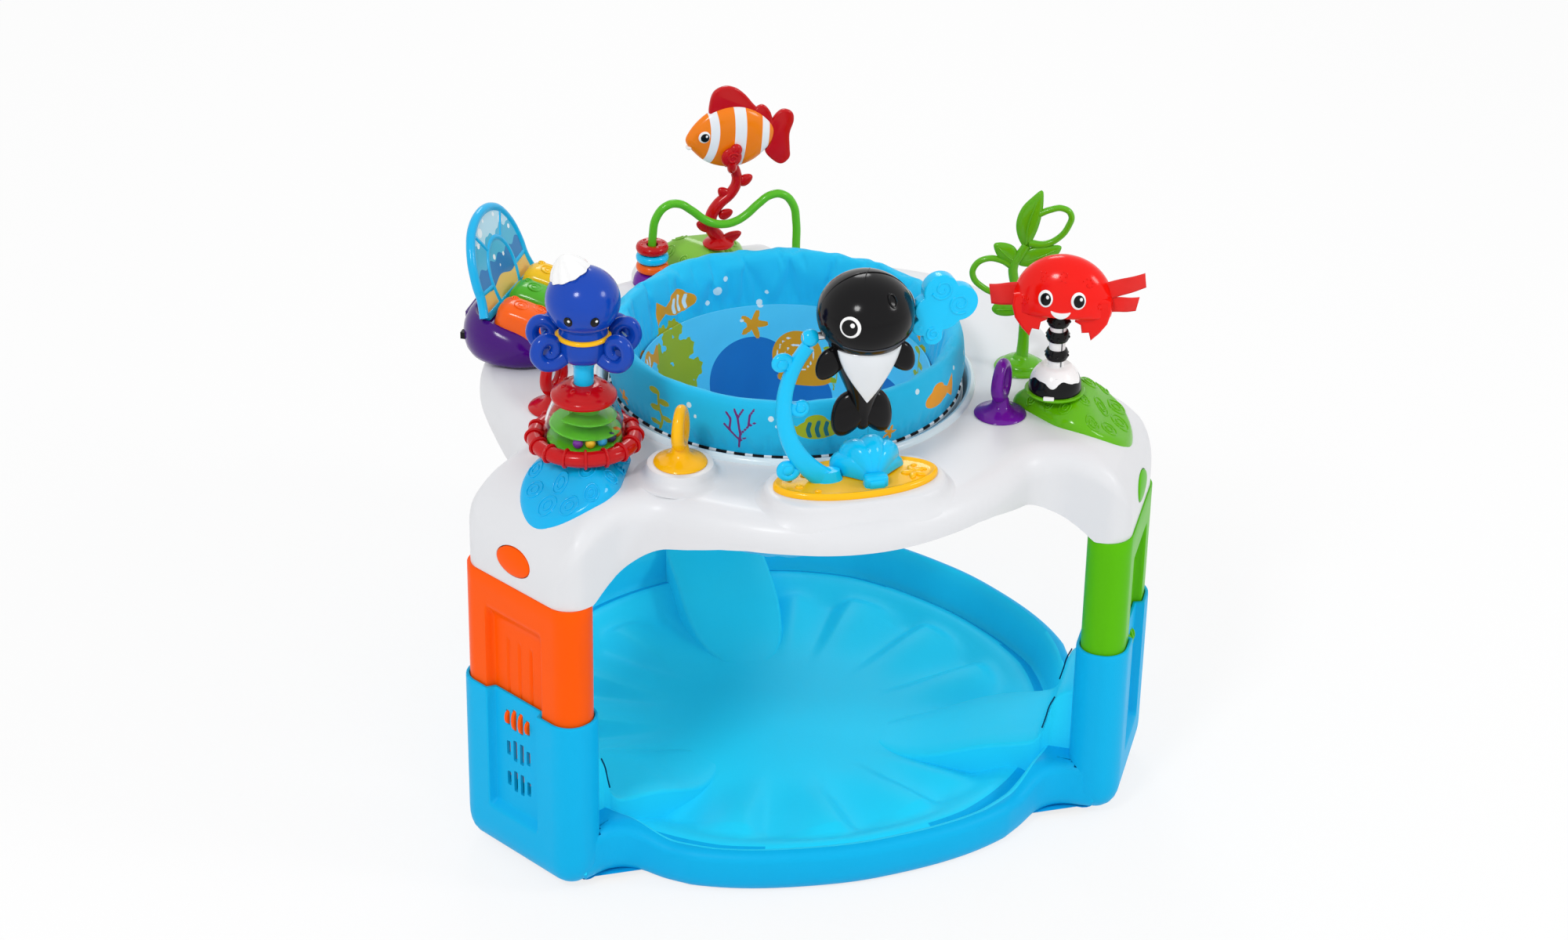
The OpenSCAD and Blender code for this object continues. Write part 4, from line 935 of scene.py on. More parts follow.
def ribShape(high):
    line = [(0, -high / 2), (11.4, -high / 2), (14.4, -high * 0.36), (15.6, -high * 0.16), (15.8, 0),
            (15.6, high * 0.16), (14.4, high * 0.36), (11.4, high / 2), (0, high / 2)]
    return slab(line, base["ribWide"], 1.5)


# a point on a shoulder's outer face, by its width and its run up from the straight part
def shoulderPoint(t, rise, straight):
    if rise < 0:
        return Vector((tray["front"], t, straight + rise)), Vector((1, 0, 0))
    a = rise / tray["arc"]
    out = Vector((cos(a), 0, sin(a)))
    return Vector((tray["arcFrom"], t, straight)) + out * tray["arc"], out


def lockShape():
    straight = tray["deck"] - tray["arc"]
    middle = lockOval["z"] - straight
    rings = []
    for f, proud in ((1, -5.5), (1, -0.6), (0.985, 0.2), (0.95, 0.8), (0.88, 1.2), (0.7, 1.7), (0.45, 2.1), (0.2, 2.3)):
        ring = []
        for p in ellipse(lockOval["wide"] / 2 * f, lockOval["high"] / 2 * f, 64):
            at, out = shoulderPoint(p.x, middle + p.y, straight)
            ring.append(at + (out if proud > -3 else Vector((1, 0, 0))) * proud)
        rings.append(ring)
    return solid(rings)


def buildLegs():
    for side, angle in legAngles.items():
        colour = legFinish[side]
        piece("leg_shell_" + side, "tray", [(legShape(), turnZ(angle), colour)], "leg_" + side, sharp=50)
        ribs = [(box(4, 48, 34, 1), legFrame(angle, 369.5, 175), colour)]
        for t, high in base["ribs"]:
            ribs.append((ribShape(high), legFrame(angle, 368.7, 175) @ move(0, t, 0) @ upright, colour))
        piece("latch_ribs_" + side, "latch_" + side, ribs, "latch_" + side)
        piece("lock_oval_" + side, "lock_button_" + side, [(lockShape(), turnZ(angle), colour)],
              "lock_button_" + side, sharp=60)


trayShell = buildTray()
print("tray ready")
buildBase()
print("base ready")
buildLegs()
print("legs ready")


# ink on plastic or cloth: each mask is a signed distance in millimetres, kept on the mesh's points
def inkMask(obj, name, distance):
    layer = obj.data.attributes.new(name, "FLOAT", "POINT")
    layer.data.foreach_set("value", [distance(v.co / metre) for v in obj.data.vertices])


# pads: egg-shaped caps over the shoulders, their skin embossed with rings
# each ring of the embossing is x, y and radius in the shoulder's own frame
pad = {"from": 240, "to": 367, "big": 51, "small": 14, "shift": 14, "top": 461, "rings": 26, "soft": 36, "lip": 5,
       "sunk": 1.2}
padRings = [(352, 4, 9), (345, -22, 8), (344, 27, 9), (330, -37, 7), (332, 2, 7.5), (326, 40, 7), (316, -18, 6.5),
            (314, 22, 8), (300, -34, 6), (298, 38, 6.5), (282, -27, 5), (276, 27, 5), (262, -16, 4.5), (260, 15, 4.5)]


def padOutline(count=120):
    p = pad
    reach = p["to"] - p["big"] - p["from"] - p["small"]
    lean = acos((p["big"] - p["small"]) / reach)
    line = []
    for centre, radius, low, high in ((p["to"] - p["big"], p["big"], -(pi - lean), pi - lean),
                                      (p["from"] + p["small"], p["small"], pi - lean, pi + lean)):
        for k in range(41):
            a = low + (high - low) * k / 40
            line.append(Vector((centre + radius * cos(a), p["shift"] + radius * sin(a), 0)))
    return evenly(line, count)


# height of the tray's skin below a point of one shoulder's own frame
def underPad(side, x, y):
    spot = turnZ(legAngles[side]) @ Vector((x, y, 600))
    hit, where, _, _ = trayShell.ray_cast(spot * metre, (0, 0, -1))
    return where.z / metre if hit else 380


def padCrown(side, x, y, inset):
    lowest = underPad(side, x, y)
    plateau = pad["top"] - 62 * smoothStep(306, 374, x) - 4 * (1 - smoothStep(240, 262, x))
    lip = (pad["lip"] + pad["sunk"]) * sqrt(1 - (1 - min(inset / pad["lip"], 1)) ** 2)
    rise = max(plateau - lowest - pad["lip"], 0)
    return lowest - pad["sunk"] + lip + rise * (1 - (1 - min(inset / pad["soft"], 1)) ** 2)


def padShape(side):
    outline = padOutline()
    normals = outwardNormals(outline)
    middle = Vector((304, pad["shift"], 0))
    rings = []
    for draw in (0, 0.3, 1, 2.2, 3.8, 5.8, 8.2, 11):
        spots = [p - n * draw for p, n in zip(outline, normals)]
        rings.append([(q.x, q.y, padCrown(side, q.x, q.y, draw)) for q in spots])
    last = [Vector((x, y, 0)) for x, y, _ in rings[-1]]
    for k in range(1, pad["rings"]):
        spots = [middle + (p - middle) * (1 - k / pad["rings"]) for p in last]
        reach = [min((q - p).length for p in outline[::3]) for q in spots]
        rings.append([(q.x, q.y, padCrown(side, q.x, q.y, r)) for q, r in zip(spots, reach)])
    return faceUp(loft(rings, capLast=True))


def onPad(side, x, y, outline):
    reach = min((Vector((x, y, 0)) - p).length for p in outline)
    return (x, y, padCrown(side, x, y, reach))


def buildPads():
    outline = padOutline(60)
    for side, colour in (("left", "padBlue"), ("right", "padGreen"), ("back", "padLime")):
        a = legAngles[side]
        parts = [(padShape(side), turnZ(a), colour)]
        for x, y, r in padRings:
            for ring in (r, r * 0.48):
                line = [onPad(side, x + ring * cos(t), y + pad["shift"] + ring * sin(t), outline) for t in around(18)]
                parts.append((tube(line, 1.0, 2, True), turnZ(a), colour))
        piece("pad_cap_" + side, "tray", parts, "pad_" + side, sharp=60)


# loops that take a toy link, egg-shaped rings on flared feet: place, height, turn and finish
loops = {"yellow": (tray["bossAt"], 450, -25, "bandYellow"), "purple": ((234, 325), 436, -36, "loopPurple"),
         "red": ((250, 183), 436, -45, "ringRed")}


def buildLoops():
    foot = [(0, 0), (26.5, 0), (27, 1), (26, 2.6), (20, 4.6), (14.5, 7), (11, 10), (9.2, 13), (8.6, 17), (7, 20),
            (0, 20)]
    ring = [(0, 15.2 * cos(a), 38 + 16.2 * sin(a) + 2.4 * max(sin(a), 0) ** 2) for a in around(20)]
    widths = [1.06 - 0.12 * sin(a) for a in around(20)]
    for name, (spot, z, axis, colour) in loops.items():
        at = place(*spot, z)
        piece("loop_ring_" + name, "tray", [
            (lathe(foot, 56), at, colour), (tube(ring, 6, 6, True, widths), at @ turnZ(axis), colour)], "loop_" + name)


# popper: ribbed red ring, clear dome with a spiral ramp and beads, and an octopus on the plunger
popper = {"at": (285, 210), "ring": 49.5, "ringTube": 8, "ribs": 16, "low": 461}


def spiralShape():
    rings = []
    for i in range(121):
        t = i / 120
        a, z, r = 3 * pi * t, 502 - 20 * t, 31 + 6 * t
        c, s = cos(a), sin(a)
        section = [(13, 0), (r - 2, -2.6), (r - 0.6, -3), (r, -3.8), (r - 0.6, -4.8), (r - 3, -4.8), (13, -2.6)]
        rings.append([(x * c, x * s, z + h) for x, h in section])
    return solid(rings)


def armShape(rise, reach):
    path = [(14, 0, 12), (25, 0, 2), (37, 0, -1), (47, 0, 5), (50, 0, 16), (43, 0, 26), (33, 0, 24), (30, 0, 14),
            (36, 0, 9), (40, 0, 13)]
    widths = [1.25, 1.2, 1.1, 1.0, 0.95, 0.92, 0.88, 0.82, 0.75, 0.6]
    return tube([(x * reach, y, z + rise) for x, y, z in path], 7, 5, widths=widths)


# flat white disc with a dark pupil and a small highlight, on the x, z plane and facing -y
def eye(white, dark, look):
    return [(lathe([(0, 1.5), (white * 0.7, 1.3), (white * 0.94, 0.7), (white, 0), (0, 0)], 32), upright, "pureWhite"),
            (lathe([(0, 2.3), (dark * 0.7, 2.1), (dark * 0.95, 1.5), (dark, 0), (0, 0)], 32),
             move(look, 0, -0.3) @ upright, "inkBlack"),
            (ball(dark * 0.28, 0.8, dark * 0.28, 16), move(look + dark * 0.35, -2.2, dark * 0.3), "pureWhite")]


# a place on a ball's skin, seen from -y: turns the piece to look along the skin's normal
def onBall(centre, radii, across, up):
    x, z = across / radii[0], up / radii[2]
    y = -sqrt(max(1 - x * x - z * z, 0))
    out = Vector((x / radii[0], y / radii[1], z / radii[2])).normalized()
    spot = Vector((x * radii[0], y * radii[1], z * radii[2]))
    return Matrix.Translation(Vector(centre) + spot) @ Vector((0, -1, 0)).rotation_difference(out).to_matrix().to_4x4()


def buildPopper():
    p = popper
    here = place(*p["at"])
    look = here @ turnZ(-16)
    z = p["low"] + p["ringTube"] + 0.3
    disc = lathe([(0, 461), (44, 461), (45, 462), (45, 465), (44, 466), (0, 466)], 64)
    ring = hoop(p["ring"], p["ringTube"], 96, 20)
    parts = [(disc, here), (ring, here @ move(0, 0, z))]
    for k in range(p["ribs"]):
        spot = here @ turnZ(360 * (k + 0.5) / p["ribs"]) @ move(p["ring"], 0, z)
        parts.append((hoop(8.8, 1.5, 28, 8), spot @ upright))
    piece("popper_ring", "tray", coloured("ringRed", *parts), "drum_base")
    outer = [(41.2, 466), (41.3, 472), (40.6, 480), (39, 489), (36.2, 498), (32.8, 506), (30.4, 511.4)]
    dome = outer + [(r - 1.7, h - (0.4 if h > 468 else 0)) for r, h in reversed(outer)] + outer[:1]
    piece("popper_dome", "tray", [(lathe(dome, 96), here, "domeClear")], "drum_dome")
    cap = [(10.3, 511.6), (29, 511.6), (31.8, 512.4), (33, 515), (32.8, 517.6), (31.4, 519.6), (28.8, 521),
           (27.4, 522.4), (24, 526), (18, 528.8), (12.5, 530), (10.3, 529.6), (10.3, 511.6)]
    parts = [(lathe(cap, 72), here)]
    parts += [(ball(3.4, 2.6, 1.6, 16), here @ turnZ(45 * k) @ move(20.5, 0, 527.6) @ turn(24, "Y")) for k in range(8)]
    piece("popper_cap", "tray", coloured("ringRed", *parts), "drum_cap")
    core = [(4.4, 466.6), (15, 466.6), (15, 503), (14, 504), (13, 503.6), (13, 488), (4.4, 487), (4.4, 466.6)]
    skirt = [(15, 475.4), (24, 474.2), (35.6, 472.4), (37.2, 471.2), (37.6, 469), (37, 466.7), (15, 466.7)]
    parts = coloured("spiralGreen", (lathe(core, 48), here), (lathe(skirt, 64), here),
                     (spiralShape(), here @ turnZ(210)))
    piece("popper_spiral", "popper_spiral", parts, "drum_spiral")
    parts = []
    for k, colour in enumerate(("beadPurple", "beadYellow", "beadSky", "beadInk", "beadOrange")):
        parts.append((ball(5.2, steps=24), here @ turnZ(246 + 22 * k) @ move(32, 0, 478), colour))
    piece("popper_beads", "popper_spiral", parts, "drum_beads")
    post = [(0, 484), (4, 484), (4, 504), (12, 505), (12, 511), (10, 511.6), (10, 545), (11.4, 551), (15, 556),
            (0, 557)]
    piece("plunger_post", "octopus", [(lathe(post, 40), here, "skyBlue")], "plunger")
    body = [(0, 554), (12, 554.4), (19, 556.5), (23.5, 561), (25.6, 568), (26, 576), (24.6, 584), (23, 592), (0, 594)]
    head = (0, 0, 619)
    size3 = (37, 36, 35)
    parts = [(lathe(body, 56), look, "octoBlue"), (ball(*size3, steps=56), look @ move(*head), "octoBlue"),
             (hoop(25.2, 2.6, 64, 12), look @ move(0, 0, 583), "bandYellow")]
    for a, rise, reach in ((-152, 558, 1.0), (-28, 558, 1.0), (-190, 566, 1.02), (10, 566, 1.02), (140, 560, 0.98),
                           (40, 560, 0.98)):
        parts.append((armShape(rise, reach), look @ turnZ(a), "octoBlue"))
    for u in (-12.5, 13.5):
        parts += placed([(ball(4.6, 1.6, 5.6, 24), Matrix(), "inkBlack"),
                         (ball(1.5, 0.8, 1.5, 12), move(1.3, -1.3, 2), "pureWhite")],
                        look @ onBall(head, size3, u, -8))
    limpet = lathe([(0, 20), (4, 19), (10, 15), (16, 8.5), (20, 2), (20.6, 0), (18, -1.5), (0, 6)], 60)
    for v in limpet.verts:
        r = hypot(v.co.x, v.co.y)
        ripple = 1 + 0.05 * cos(10 * atan2(v.co.y, v.co.x)) * smoothStep(2, 12, r)
        v.co.x *= ripple
        v.co.y *= ripple
    parts.append((limpet, look @ move(-12, 0, 648) @ turn(-24, "Y"), "pureWhite"))
    piece("octopus_figure", "octopus", parts, "octopus_body")


buildPads()
buildLoops()
buildPopper()
print("pads, loops and popper ready")


# flat spiral in the x, z plane, drawing in and thinning from its outer end
def swirl(radius, thick, start, sense=1, points=14):
    line, widths = [], []
    for k in range(points):
        t = k / (points - 1)
        a, r = rad(start) + 3 * pi * sense * t, radius * (1 - 0.82 * t)
        line.append((r * cos(a), 0, r * sin(a)))
        widths.append(1 - 0.35 * t)
    return tube(line, thick, 4, widths=widths)


# whale toy: sandy plate, scallop shell, curled arm, and a whale that turns on a steel pin
whale = {"at": (0, -258), "stageRise": 8, "axle": (5, 612), "plate": (168, 76), "headRise": 19}


def scallopShape():
    hinge = Vector((14, -277, 453))
    rings = []
    for k in range(13):
        t = k / 12
        ring = []
        for i in range(97):
            a = pi * i / 96
            lobe = abs(cos(4.5 * a)) ** 0.7
            grow = 1 - 0.07 * (1 - lobe) * t
            rim = Vector((14 + 38.5 * cos(a) * grow, -244, 450 + 38 * sin(a) * grow))
            lift = 11 * sin(pi * min(t * 0.94, 1)) * (0.35 + 0.65 * sin(a)) + 2.6 * lobe * t
            spot = hinge.lerp(rim, t ** 0.8) + Vector((0, -0.55, 0.84)) * lift
            ring.append((spot.x, spot.y, max(spot.z, 450)))
        rings.append(ring)
    for across, y, up in ((0.97, -239, 0.95), (0.85, -235, 0.8), (0.3, -234, 0.2)):
        rings.append([(14 + (x - 14) * across, y, 450 + (z - 450) * up) for x, _, z in rings[-1]])
    return tidyShape(loft(rings, closed=False))


def whaleArmShape():
    rings = []
    for k in range(61):
        t = k / 60
        a = rad(140 + 96 * t)
        half = 6.5 + 4.6 * t ** 1.4
        ring = []
        for b in around(24):
            r = 101 + half * copysign(abs(cos(b)) ** 0.75, cos(b))
            ring.append((26 + r * cos(a), 6.4 * copysign(abs(sin(b)) ** 0.75, sin(b)), 538 + r * sin(a)))
        rings.append(ring)
    return solid(rings)


# leaf with a soft point at its far end, root at the origin, along +y
def leafOval(long, wide, thick):
    line = [(wide / 2 * sin(a) * (1 + 0.18 * cos(a)), long / 2 * (1 - cos(a))) for a in around(40)]
    return pillow(line, thick, (0, long * 0.5), rings=8, power=0.75)


def buildWhale():
    here = move(*whale["at"], 0)
    long, wide = whale["plate"]
    rings = []
    for grow, z in ((-30, 445.4), (-9, 445.4), (-7, 445.6), (-5, 446.6), (-3, 447.2), (-1.2, 446.4), (0, 444.6),
                    (0, 441.2), (-6, 441.1)):
        rings.append([((long / 2 + grow) * copysign(abs(cos(a)) ** 0.92, cos(a)),
                       (wide / 2 + grow) * copysign(abs(sin(a)) ** 1.08, sin(a)), z) for a in around(120)])
    raised = here @ move(0, 0, whale["stageRise"])
    parts = [(solid(rings), raised)]
    for x, y, r in ((-60, -8, 4.5), (-50, 12, 3.2), (-44, -20, 3.6), (-66, 6, 2.6), (62, 8, 3.4), (70, -2, 2.6),
                    (52, 20, 2.8)):
        parts.append((ball(r, r * 0.8, 1.6, 16), raised @ move(x, y, 445.6)))
    for k in range(5):                          # a plain sea star lying on the sand
        parts.append((leafOval(13, 7, 4.5), raised @ move(58, -6, 445.8) @ turnZ(72 * k + 10)))
    piece("whale_stage", "tray", coloured("bandYellow", *parts), "whale_plate")

    parts = coloured("skyBlue", (scallopShape(), Matrix()), (box(24, 13, 17, 3.5), move(14, -279, 456.5)),
                     (box(16, 4, 9, 1.5), move(14, -285.5, 457)))
    piece("scallop_shell", "tray", parts, "whale_scallop", sharp=50)

    parts = [(whaleArmShape(), here), (ball(9, 7.5, 9, 32), here @ move(-50, 0, 611))]
    for r, thick, start, sense, x, z, knob, knobX in ((9.5, 4.2, -40, 1, -78, 586, 7, -77),
                                                      (8.5, 4, 140, 1, -58, 537, 6, -58),
                                                      (10, 4.4, 0, -1, -70, 470, 7, -70)):
        parts += [(swirl(r, thick, start, sense), here @ move(x, 0, z)),
                  (ball(knob, 5, knob), here @ move(knobX, 0, z))]
    foot = [[(p.x * g - 28, p.y * g, z) for p in ellipse(14, 8.5, 32)]
            for g, z in ((1.1, 450.4), (1.05, 453), (0.9, 458), (0.8, 464))]
    parts.append((solid(foot), here))
    piece("whale_arch", "tray", coloured("skyBlue", *parts), "whale_arm")

    mid = here @ move(whale["axle"][0], 0, whale["axle"][1])
    rings = []
    for k in range(49):
        z = 62 - 168 * k / 48
        over = (z - whale["headRise"]) / 43
        head = 46.5 * sqrt(1 - over ** 2) if abs(over) < 1 else 0
        tail = 7 + 31 * smoothStep(-104, 6, z) if z < 12 else 0
        r = 3 if k == 48 else max(head, tail, 0.3 if k == 0 else 0)
        rings.append([(r * cos(a), r * 0.94 * sin(a), z) for a in around(56)])
    body = solid(rings)
    bmesh.ops.smooth_vert(body, verts=body.verts, factor=0.5, use_axis_x=True, use_axis_y=True, use_axis_z=True)
    head, size3 = (0, 0, whale["headRise"]), (47.5, 46.5, 43)
    look = mid @ turnZ(-16)
    parts = [(body, mid, "whaleBlack")]
    for side in (-1, 1):
        fluke = mid @ move(side * 4, 2, -66) @ turn(-24 * side, "Y") @ turnZ(14 * side) @ turn(-90, "X")
        flipper = mid @ move(side * 27, -4, -14) @ turn(side * -32, "Y") @ turn(-90, "X")
        parts += [(leafOval(50, 33, 17), fluke, "whaleBlack"), (leafOval(36, 26, 13), flipper, "whaleBlack")]
    seam = [(46.9 * sin(a), 0, whale["headRise"] + 43.4 * cos(a)) for a in (rad(d) for d in range(-80, 81, 10))]
    parts.append((tube(seam, 0.45, 2), mid, "inkBlack"))
    parts.append((tube([(x * 0.94, 0, z) for x, _, z in seam], 0.45, 2), mid @ turnZ(64), "inkBlack"))
    parts.append((hoop(5.4, 1.1, 32, 8), mid @ onBall(head, size3, 16, 27) @ upright @ size(0.75, 1.25, 1), "inkBlack"))
    parts.append((ball(*size3, steps=64), look @ move(*head), "whaleBlack"))
    parts += placed(eye(10.6, 8.4, -0.4), look @ onBall(head, size3, -15, 6))
    parts += placed(eye(10.6, 8.4, 0.4), look @ turnZ(96) @ onBall(head, (46.5, 47.5, 43), 15, 6))
    mouth = []
    for b, e in ((-30, -24), (-10, -27), (15, -28), (40, -25), (65, -19), (88, -14)):
        b, e = rad(b), rad(e)
        mouth.append((47.8 * sin(b) * cos(e), -46.8 * cos(b) * cos(e), whale["headRise"] + 43.3 * sin(e)))
    parts.append((tube(mouth, 0.7, 2), look, "cellGrey"))
    piece("whale_figure", "whale", parts, "whale_body")
    # belly: a pale shield over the front, following the body
    rings = []
    for k in range(17):
        t = k / 16
        z = -9 - 62 * t
        r = 7.6 + 31 * smoothStep(-104, 6, z)
        half = rad(58 * (1 - t ** 2.4) + 3) if k < 16 else rad(1)
        arc = []
        for i in range(25):
            b = -pi / 2 + half * (i / 12 - 1)
            lift = 1.8 * sqrt(max(1 - (i / 12 - 1) ** 2, 0)) * min(1, 5 * t + 0.2) * min(1, 5 * (1 - t) + 0.1)
            arc.append(((r + lift) * cos(b), (r * 0.94 + lift) * sin(b), z))
        rings.append(arc)
    belly = faceUp(loft(rings, closed=False), lambda face: -face.normal.y)
    wall(piece("whale_front", "whale", [(belly, mid, "whaleWhite")], "whale_belly"), 2.4)
    cloud = [(60, 612, 9), (72, 602, 10), (82, 626, 19), (79, 648, 17.5), (98, 634, 18.5), (66, 630, 13)]
    line = []
    for a in around(160):
        c, d = cos(a), sin(a)
        reach = 6
        for x, z, r in cloud:
            along = (x - 80) * c + (z - 630) * d
            aside = (x - 80) * d - (z - 630) * c
            if abs(aside) < r:
                reach = max(reach, along + sqrt(r * r - aside * aside))
        line.append(Vector((80 + reach * c, 630 + reach * d, 0)))
    parts = [(slab(evenly(line, 140), 13, 3.6, 4), here @ upright), (ball(8, 7, 8, 24), here @ move(58, 0, 612))]
    for x, z, r, start, sense in ((80, 651, 11, 200, 1), (98, 634, 11.5, -60, -1), (72, 604, 7, 90, 1)):
        for y in (-6.2, 6.2):
            parts.append((swirl(r, 1.5, start, sense), here @ move(x, y, z)))
    piece("splash_cloud", "tray", coloured("skyBlue", *parts), "whale_splash")


# crab toy: rocks on a ball in its foot; ribbons of cloth are its side legs
crab = {"at": (285, 330), "shell": (51, 31, 51), "middle": 562, "face": -24}
# each ribbon's sewn edge, its free edge and its flat size in metres
ribbonStrips = {
    "ribbon_left": ((((-40, -4, 582), (-42, -4, 556)), ((-72, -7, 578), (-69, -7, 556))), (0.026, 0.032)),
    "ribbon_high": ((((44, -4, 588), (48, -4, 570)), ((84, -8, 604), (86, -8, 588))), (0.020, 0.043)),
    "ribbon_low": ((((48, -3, 572), (50, -3, 556)), ((80, -6, 576), (77, -6, 560))), (0.017, 0.032)),
}


def crabClaw(side):
    line = [(49, 574), (50.5, 562), (47, 548), (39.5, 537), (31, 528), (28.6, 537), (21.5, 536), (20, 545), (14, 548),
            (16, 562), (30, 578)]
    points = [(side * x, z) for x, z in line]
    return slab(points if side > 0 else points[::-1], 34, 5, 4)


# a strip of cloth between two edges, drawn out from the shell with a slack wave
def ribbonShape(edges):
    (a, b), (c, d) = ((Vector(p), Vector(q)) for p, q in edges)
    rings = []
    for k in range(25):
        t = k / 24
        line = []
        for i in range(9):
            f = i / 8
            spot = a.lerp(b, f).lerp(c.lerp(d, f), t)
            spot.y += 1.3 * sin(2.2 * pi * t + 0.6 * f) * t + 0.5 * sin(5 * f + 3 * t)
            line.append(spot)
        rings.append(line)
    return loft(rings, closed=False)


def buildCrab():
    here = place(*crab["at"])
    look = here @ turnZ(crab["face"])
    dome = [(0, 490.5), (9, 490.5), (13, 490), (17.5, 488), (21.5, 484), (24.6, 478.5), (26.6, 472), (27.2, 466),
            (27, 461.2), (0, 461)]
    rings = []
    for k in range(9):
        t = k / 8
        ring = []
        for a in around(96):
            edge = 477 + 2.6 * sin(5 * a + 0.6) + 1.2 * sin(9 * a)
            z = 490.6 + (edge - 490.6) * t
            r = 27.6 * cos(asin((z - 464) / 31.5)) - (0.6 if t == 1 else 0)
            ring.append(((r + 0.2) * cos(a), (r + 0.2) * sin(a), z))
        rings.append(ring)
    flow = faceUp(loft(rings, capFirst=True))
    parts = [(lathe([(0, 461), (30.5, 461), (31, 462.4), (30, 463.4), (0, 463.4)], 64), look, "padGreen"),
             (lathe(dome, 72), look, "inkBlack"), (flow, look, "pureWhite"),
             (box(11, 4, 4, 1), look @ move(-4, -28.4, 464.4), "pureWhite")]
    piece("crab_stand", "tray", parts, "crab_foot")
    parts = [(lathe([(0, 488), (8.4, 488), (8.4, 548), (0, 548)], 40), here, "pureWhite"),
             (box(1, 1.4, 52, 0.3), look @ move(5.2, -6.8, 517), "cellGrey")]
    for z in (503, 524, 541):
        bulge = [(8.2, -6), (10.4, -5.4), (11.6, -3), (12, 0), (11.6, 3), (10.4, 5.4), (8.2, 6)]
        parts.append((lathe([(r, z + h) for r, h in bulge], 40), here, "inkBlack"))
        for k in range(10):
            parts.append((ball(1.7, steps=12), here @ turnZ(36 * k) @ move(11.4, 0, z), "inkBlack"))
    piece("crab_stem", "crab", parts, "crab_post")
    shell = ball(*crab["shell"], steps=64)
    bmesh.ops.bisect_plane(shell, geom=shell.verts[:] + shell.edges[:] + shell.faces[:], plane_co=(0, 0, -12),
                           plane_no=Vector((0, -0.28, -1)).normalized(), clear_outer=True)
    rim = [e for e in shell.edges if e.is_boundary]
    for v in bmesh.ops.extrude_edge_only(shell, edges=rim)["geom"]:
        if isinstance(v, bmesh.types.BMVert):
            v.co = (v.co.x * 0.9, v.co.y * 0.9, v.co.z - 3)
    bmesh.ops.holes_fill(shell, edges=[e for e in shell.edges if e.is_boundary], sides=0)
    centre = (3, 0, crab["middle"])
    parts = [(tidyShape(shell), look @ move(*centre), "crabRed")]
    for side in (-1, 1):
        parts.append((crabClaw(side), look @ move(3, -2, 0) @ upright, "crabRed"))
    for across in (-16, 17):
        parts += placed(eye(8.4, 6.4, 0.5), look @ onBall(centre, crab["shell"], across, 15) @ size(0.9, 1, 1.08))
    smile = [(-10, 0), (-6, -1), (0, -1.6), (6, -1), (10, 0), (8, -4), (4, -7), (0, -8), (-4, -7), (-8, -4)]
    parts.append((slab(through(smile, count=48), 2.4, 0.8), look @ onBall(centre, crab["shell"], 0, 3) @ upright,
                  "pureWhite"))
    for across, up, turns in ((-20, 34, 40), (2, 38, 200), (26, 30, -60), (39, 8, 20), (-39, 8, 120)):
        at = look @ onBall(centre, crab["shell"], across, up)
        for k in range(9):
            a, r = 0.75 * k, 1.4 + 0.62 * k
            parts.append((ball(0.9, steps=8), at @ move(r * cos(a + turns), -0.1, r * sin(a + turns)), "crabRed"))
    piece("crab_shell", "crab", parts, "crab_body", sharp=50)
    made = {}
    for name, (edges, _) in ribbonStrips.items():
        node = None if made else "crab_ribbons"
        made[name] = piece(name, "crab", [(ribbonShape(edges), look, "ribbonRed")], node)
        wall(made[name], 0.9, 0)
    return made


# seaweed: stem, leaves and two open loops, in the plane that looks at the photograph
seaweed = {"at": (249, 351), "face": -16}


def buildSeaweed():
    look = place(*seaweed["at"]) @ turnZ(seaweed["face"])
    foot = [(0, 436), (27, 436), (27.6, 437.4), (26.5, 439), (21, 440.6), (20, 443.6), (17, 445.6), (9, 448),
            (6.4, 452), (0, 454)]
    # stem and two loops as (x, z), with their widths
    stems = [
        (5.6, [(1, 444), (2, 470), (1, 498), (-5, 522), (-12, 542), (-12, 556), (-6, 567), (0, 578)],
         [1.25, 1.05, 1, 0.95, 0.92, 0.92, 0.9, 0.8]),
        (3.3, [(2, 580), (18, 579), (32, 586), (42, 600), (44, 613), (35, 620), (22, 618), (11, 613)],
         [1.3, 1.1, 1, 1, 1, 1, 1.05, 1.1]),
        (3.3, [(-11, 551), (-26, 560), (-42, 561), (-53, 552), (-54, 541), (-44, 529), (-28, 522), (-8, 524)],
         [1.2, 1.05, 1, 1, 1, 1, 1.05, 1.1])]
    leaves = [[(-2, 574), (-10, 588), (-12, 604), (-7, 620), (3, 632), (13, 640), (15, 628), (14, 612), (10, 594),
               (4, 580)],
              [(-10, 554), (-20, 557), (-30, 565), (-34, 578), (-24, 580), (-13, 576), (-8, 566)],
              [(-2, 508), (-12, 514), (-26, 513), (-33, 504), (-27, 497), (-14, 496), (-4, 500)],
              [(-8, 556), (4, 553), (20, 556), (32, 566), (36, 577), (24, 578), (8, 576), (-3, 570)]]
    veins = [[(-1, -3.4, 580), (0, -4.3, 600), (6, -3.6, 622), (10, -2.4, 632)],
             [(-12, -3, 560), (-22, -4.2, 568), (-29, -3, 575)], [(-6, -3, 505), (-18, -4.2, 505), (-28, -3, 504)],
             [(-2, -3, 560), (14, -4.2, 566), (30, -3, 574)]]
    parts = [(lathe(foot, 56), look)]
    parts += [(tube([(x, 0, z) for x, z in line], r, 5, widths=widths), look) for r, line, widths in stems]
    parts += [(pillow(through(line, count=56), 8, power=0.7), look @ upright) for line in leaves]
    parts += [(tube(line, 0.8, 3), look) for line in veins]
    piece("seaweed_plant", "tray", coloured("weedGreen", *parts), "seaweed")


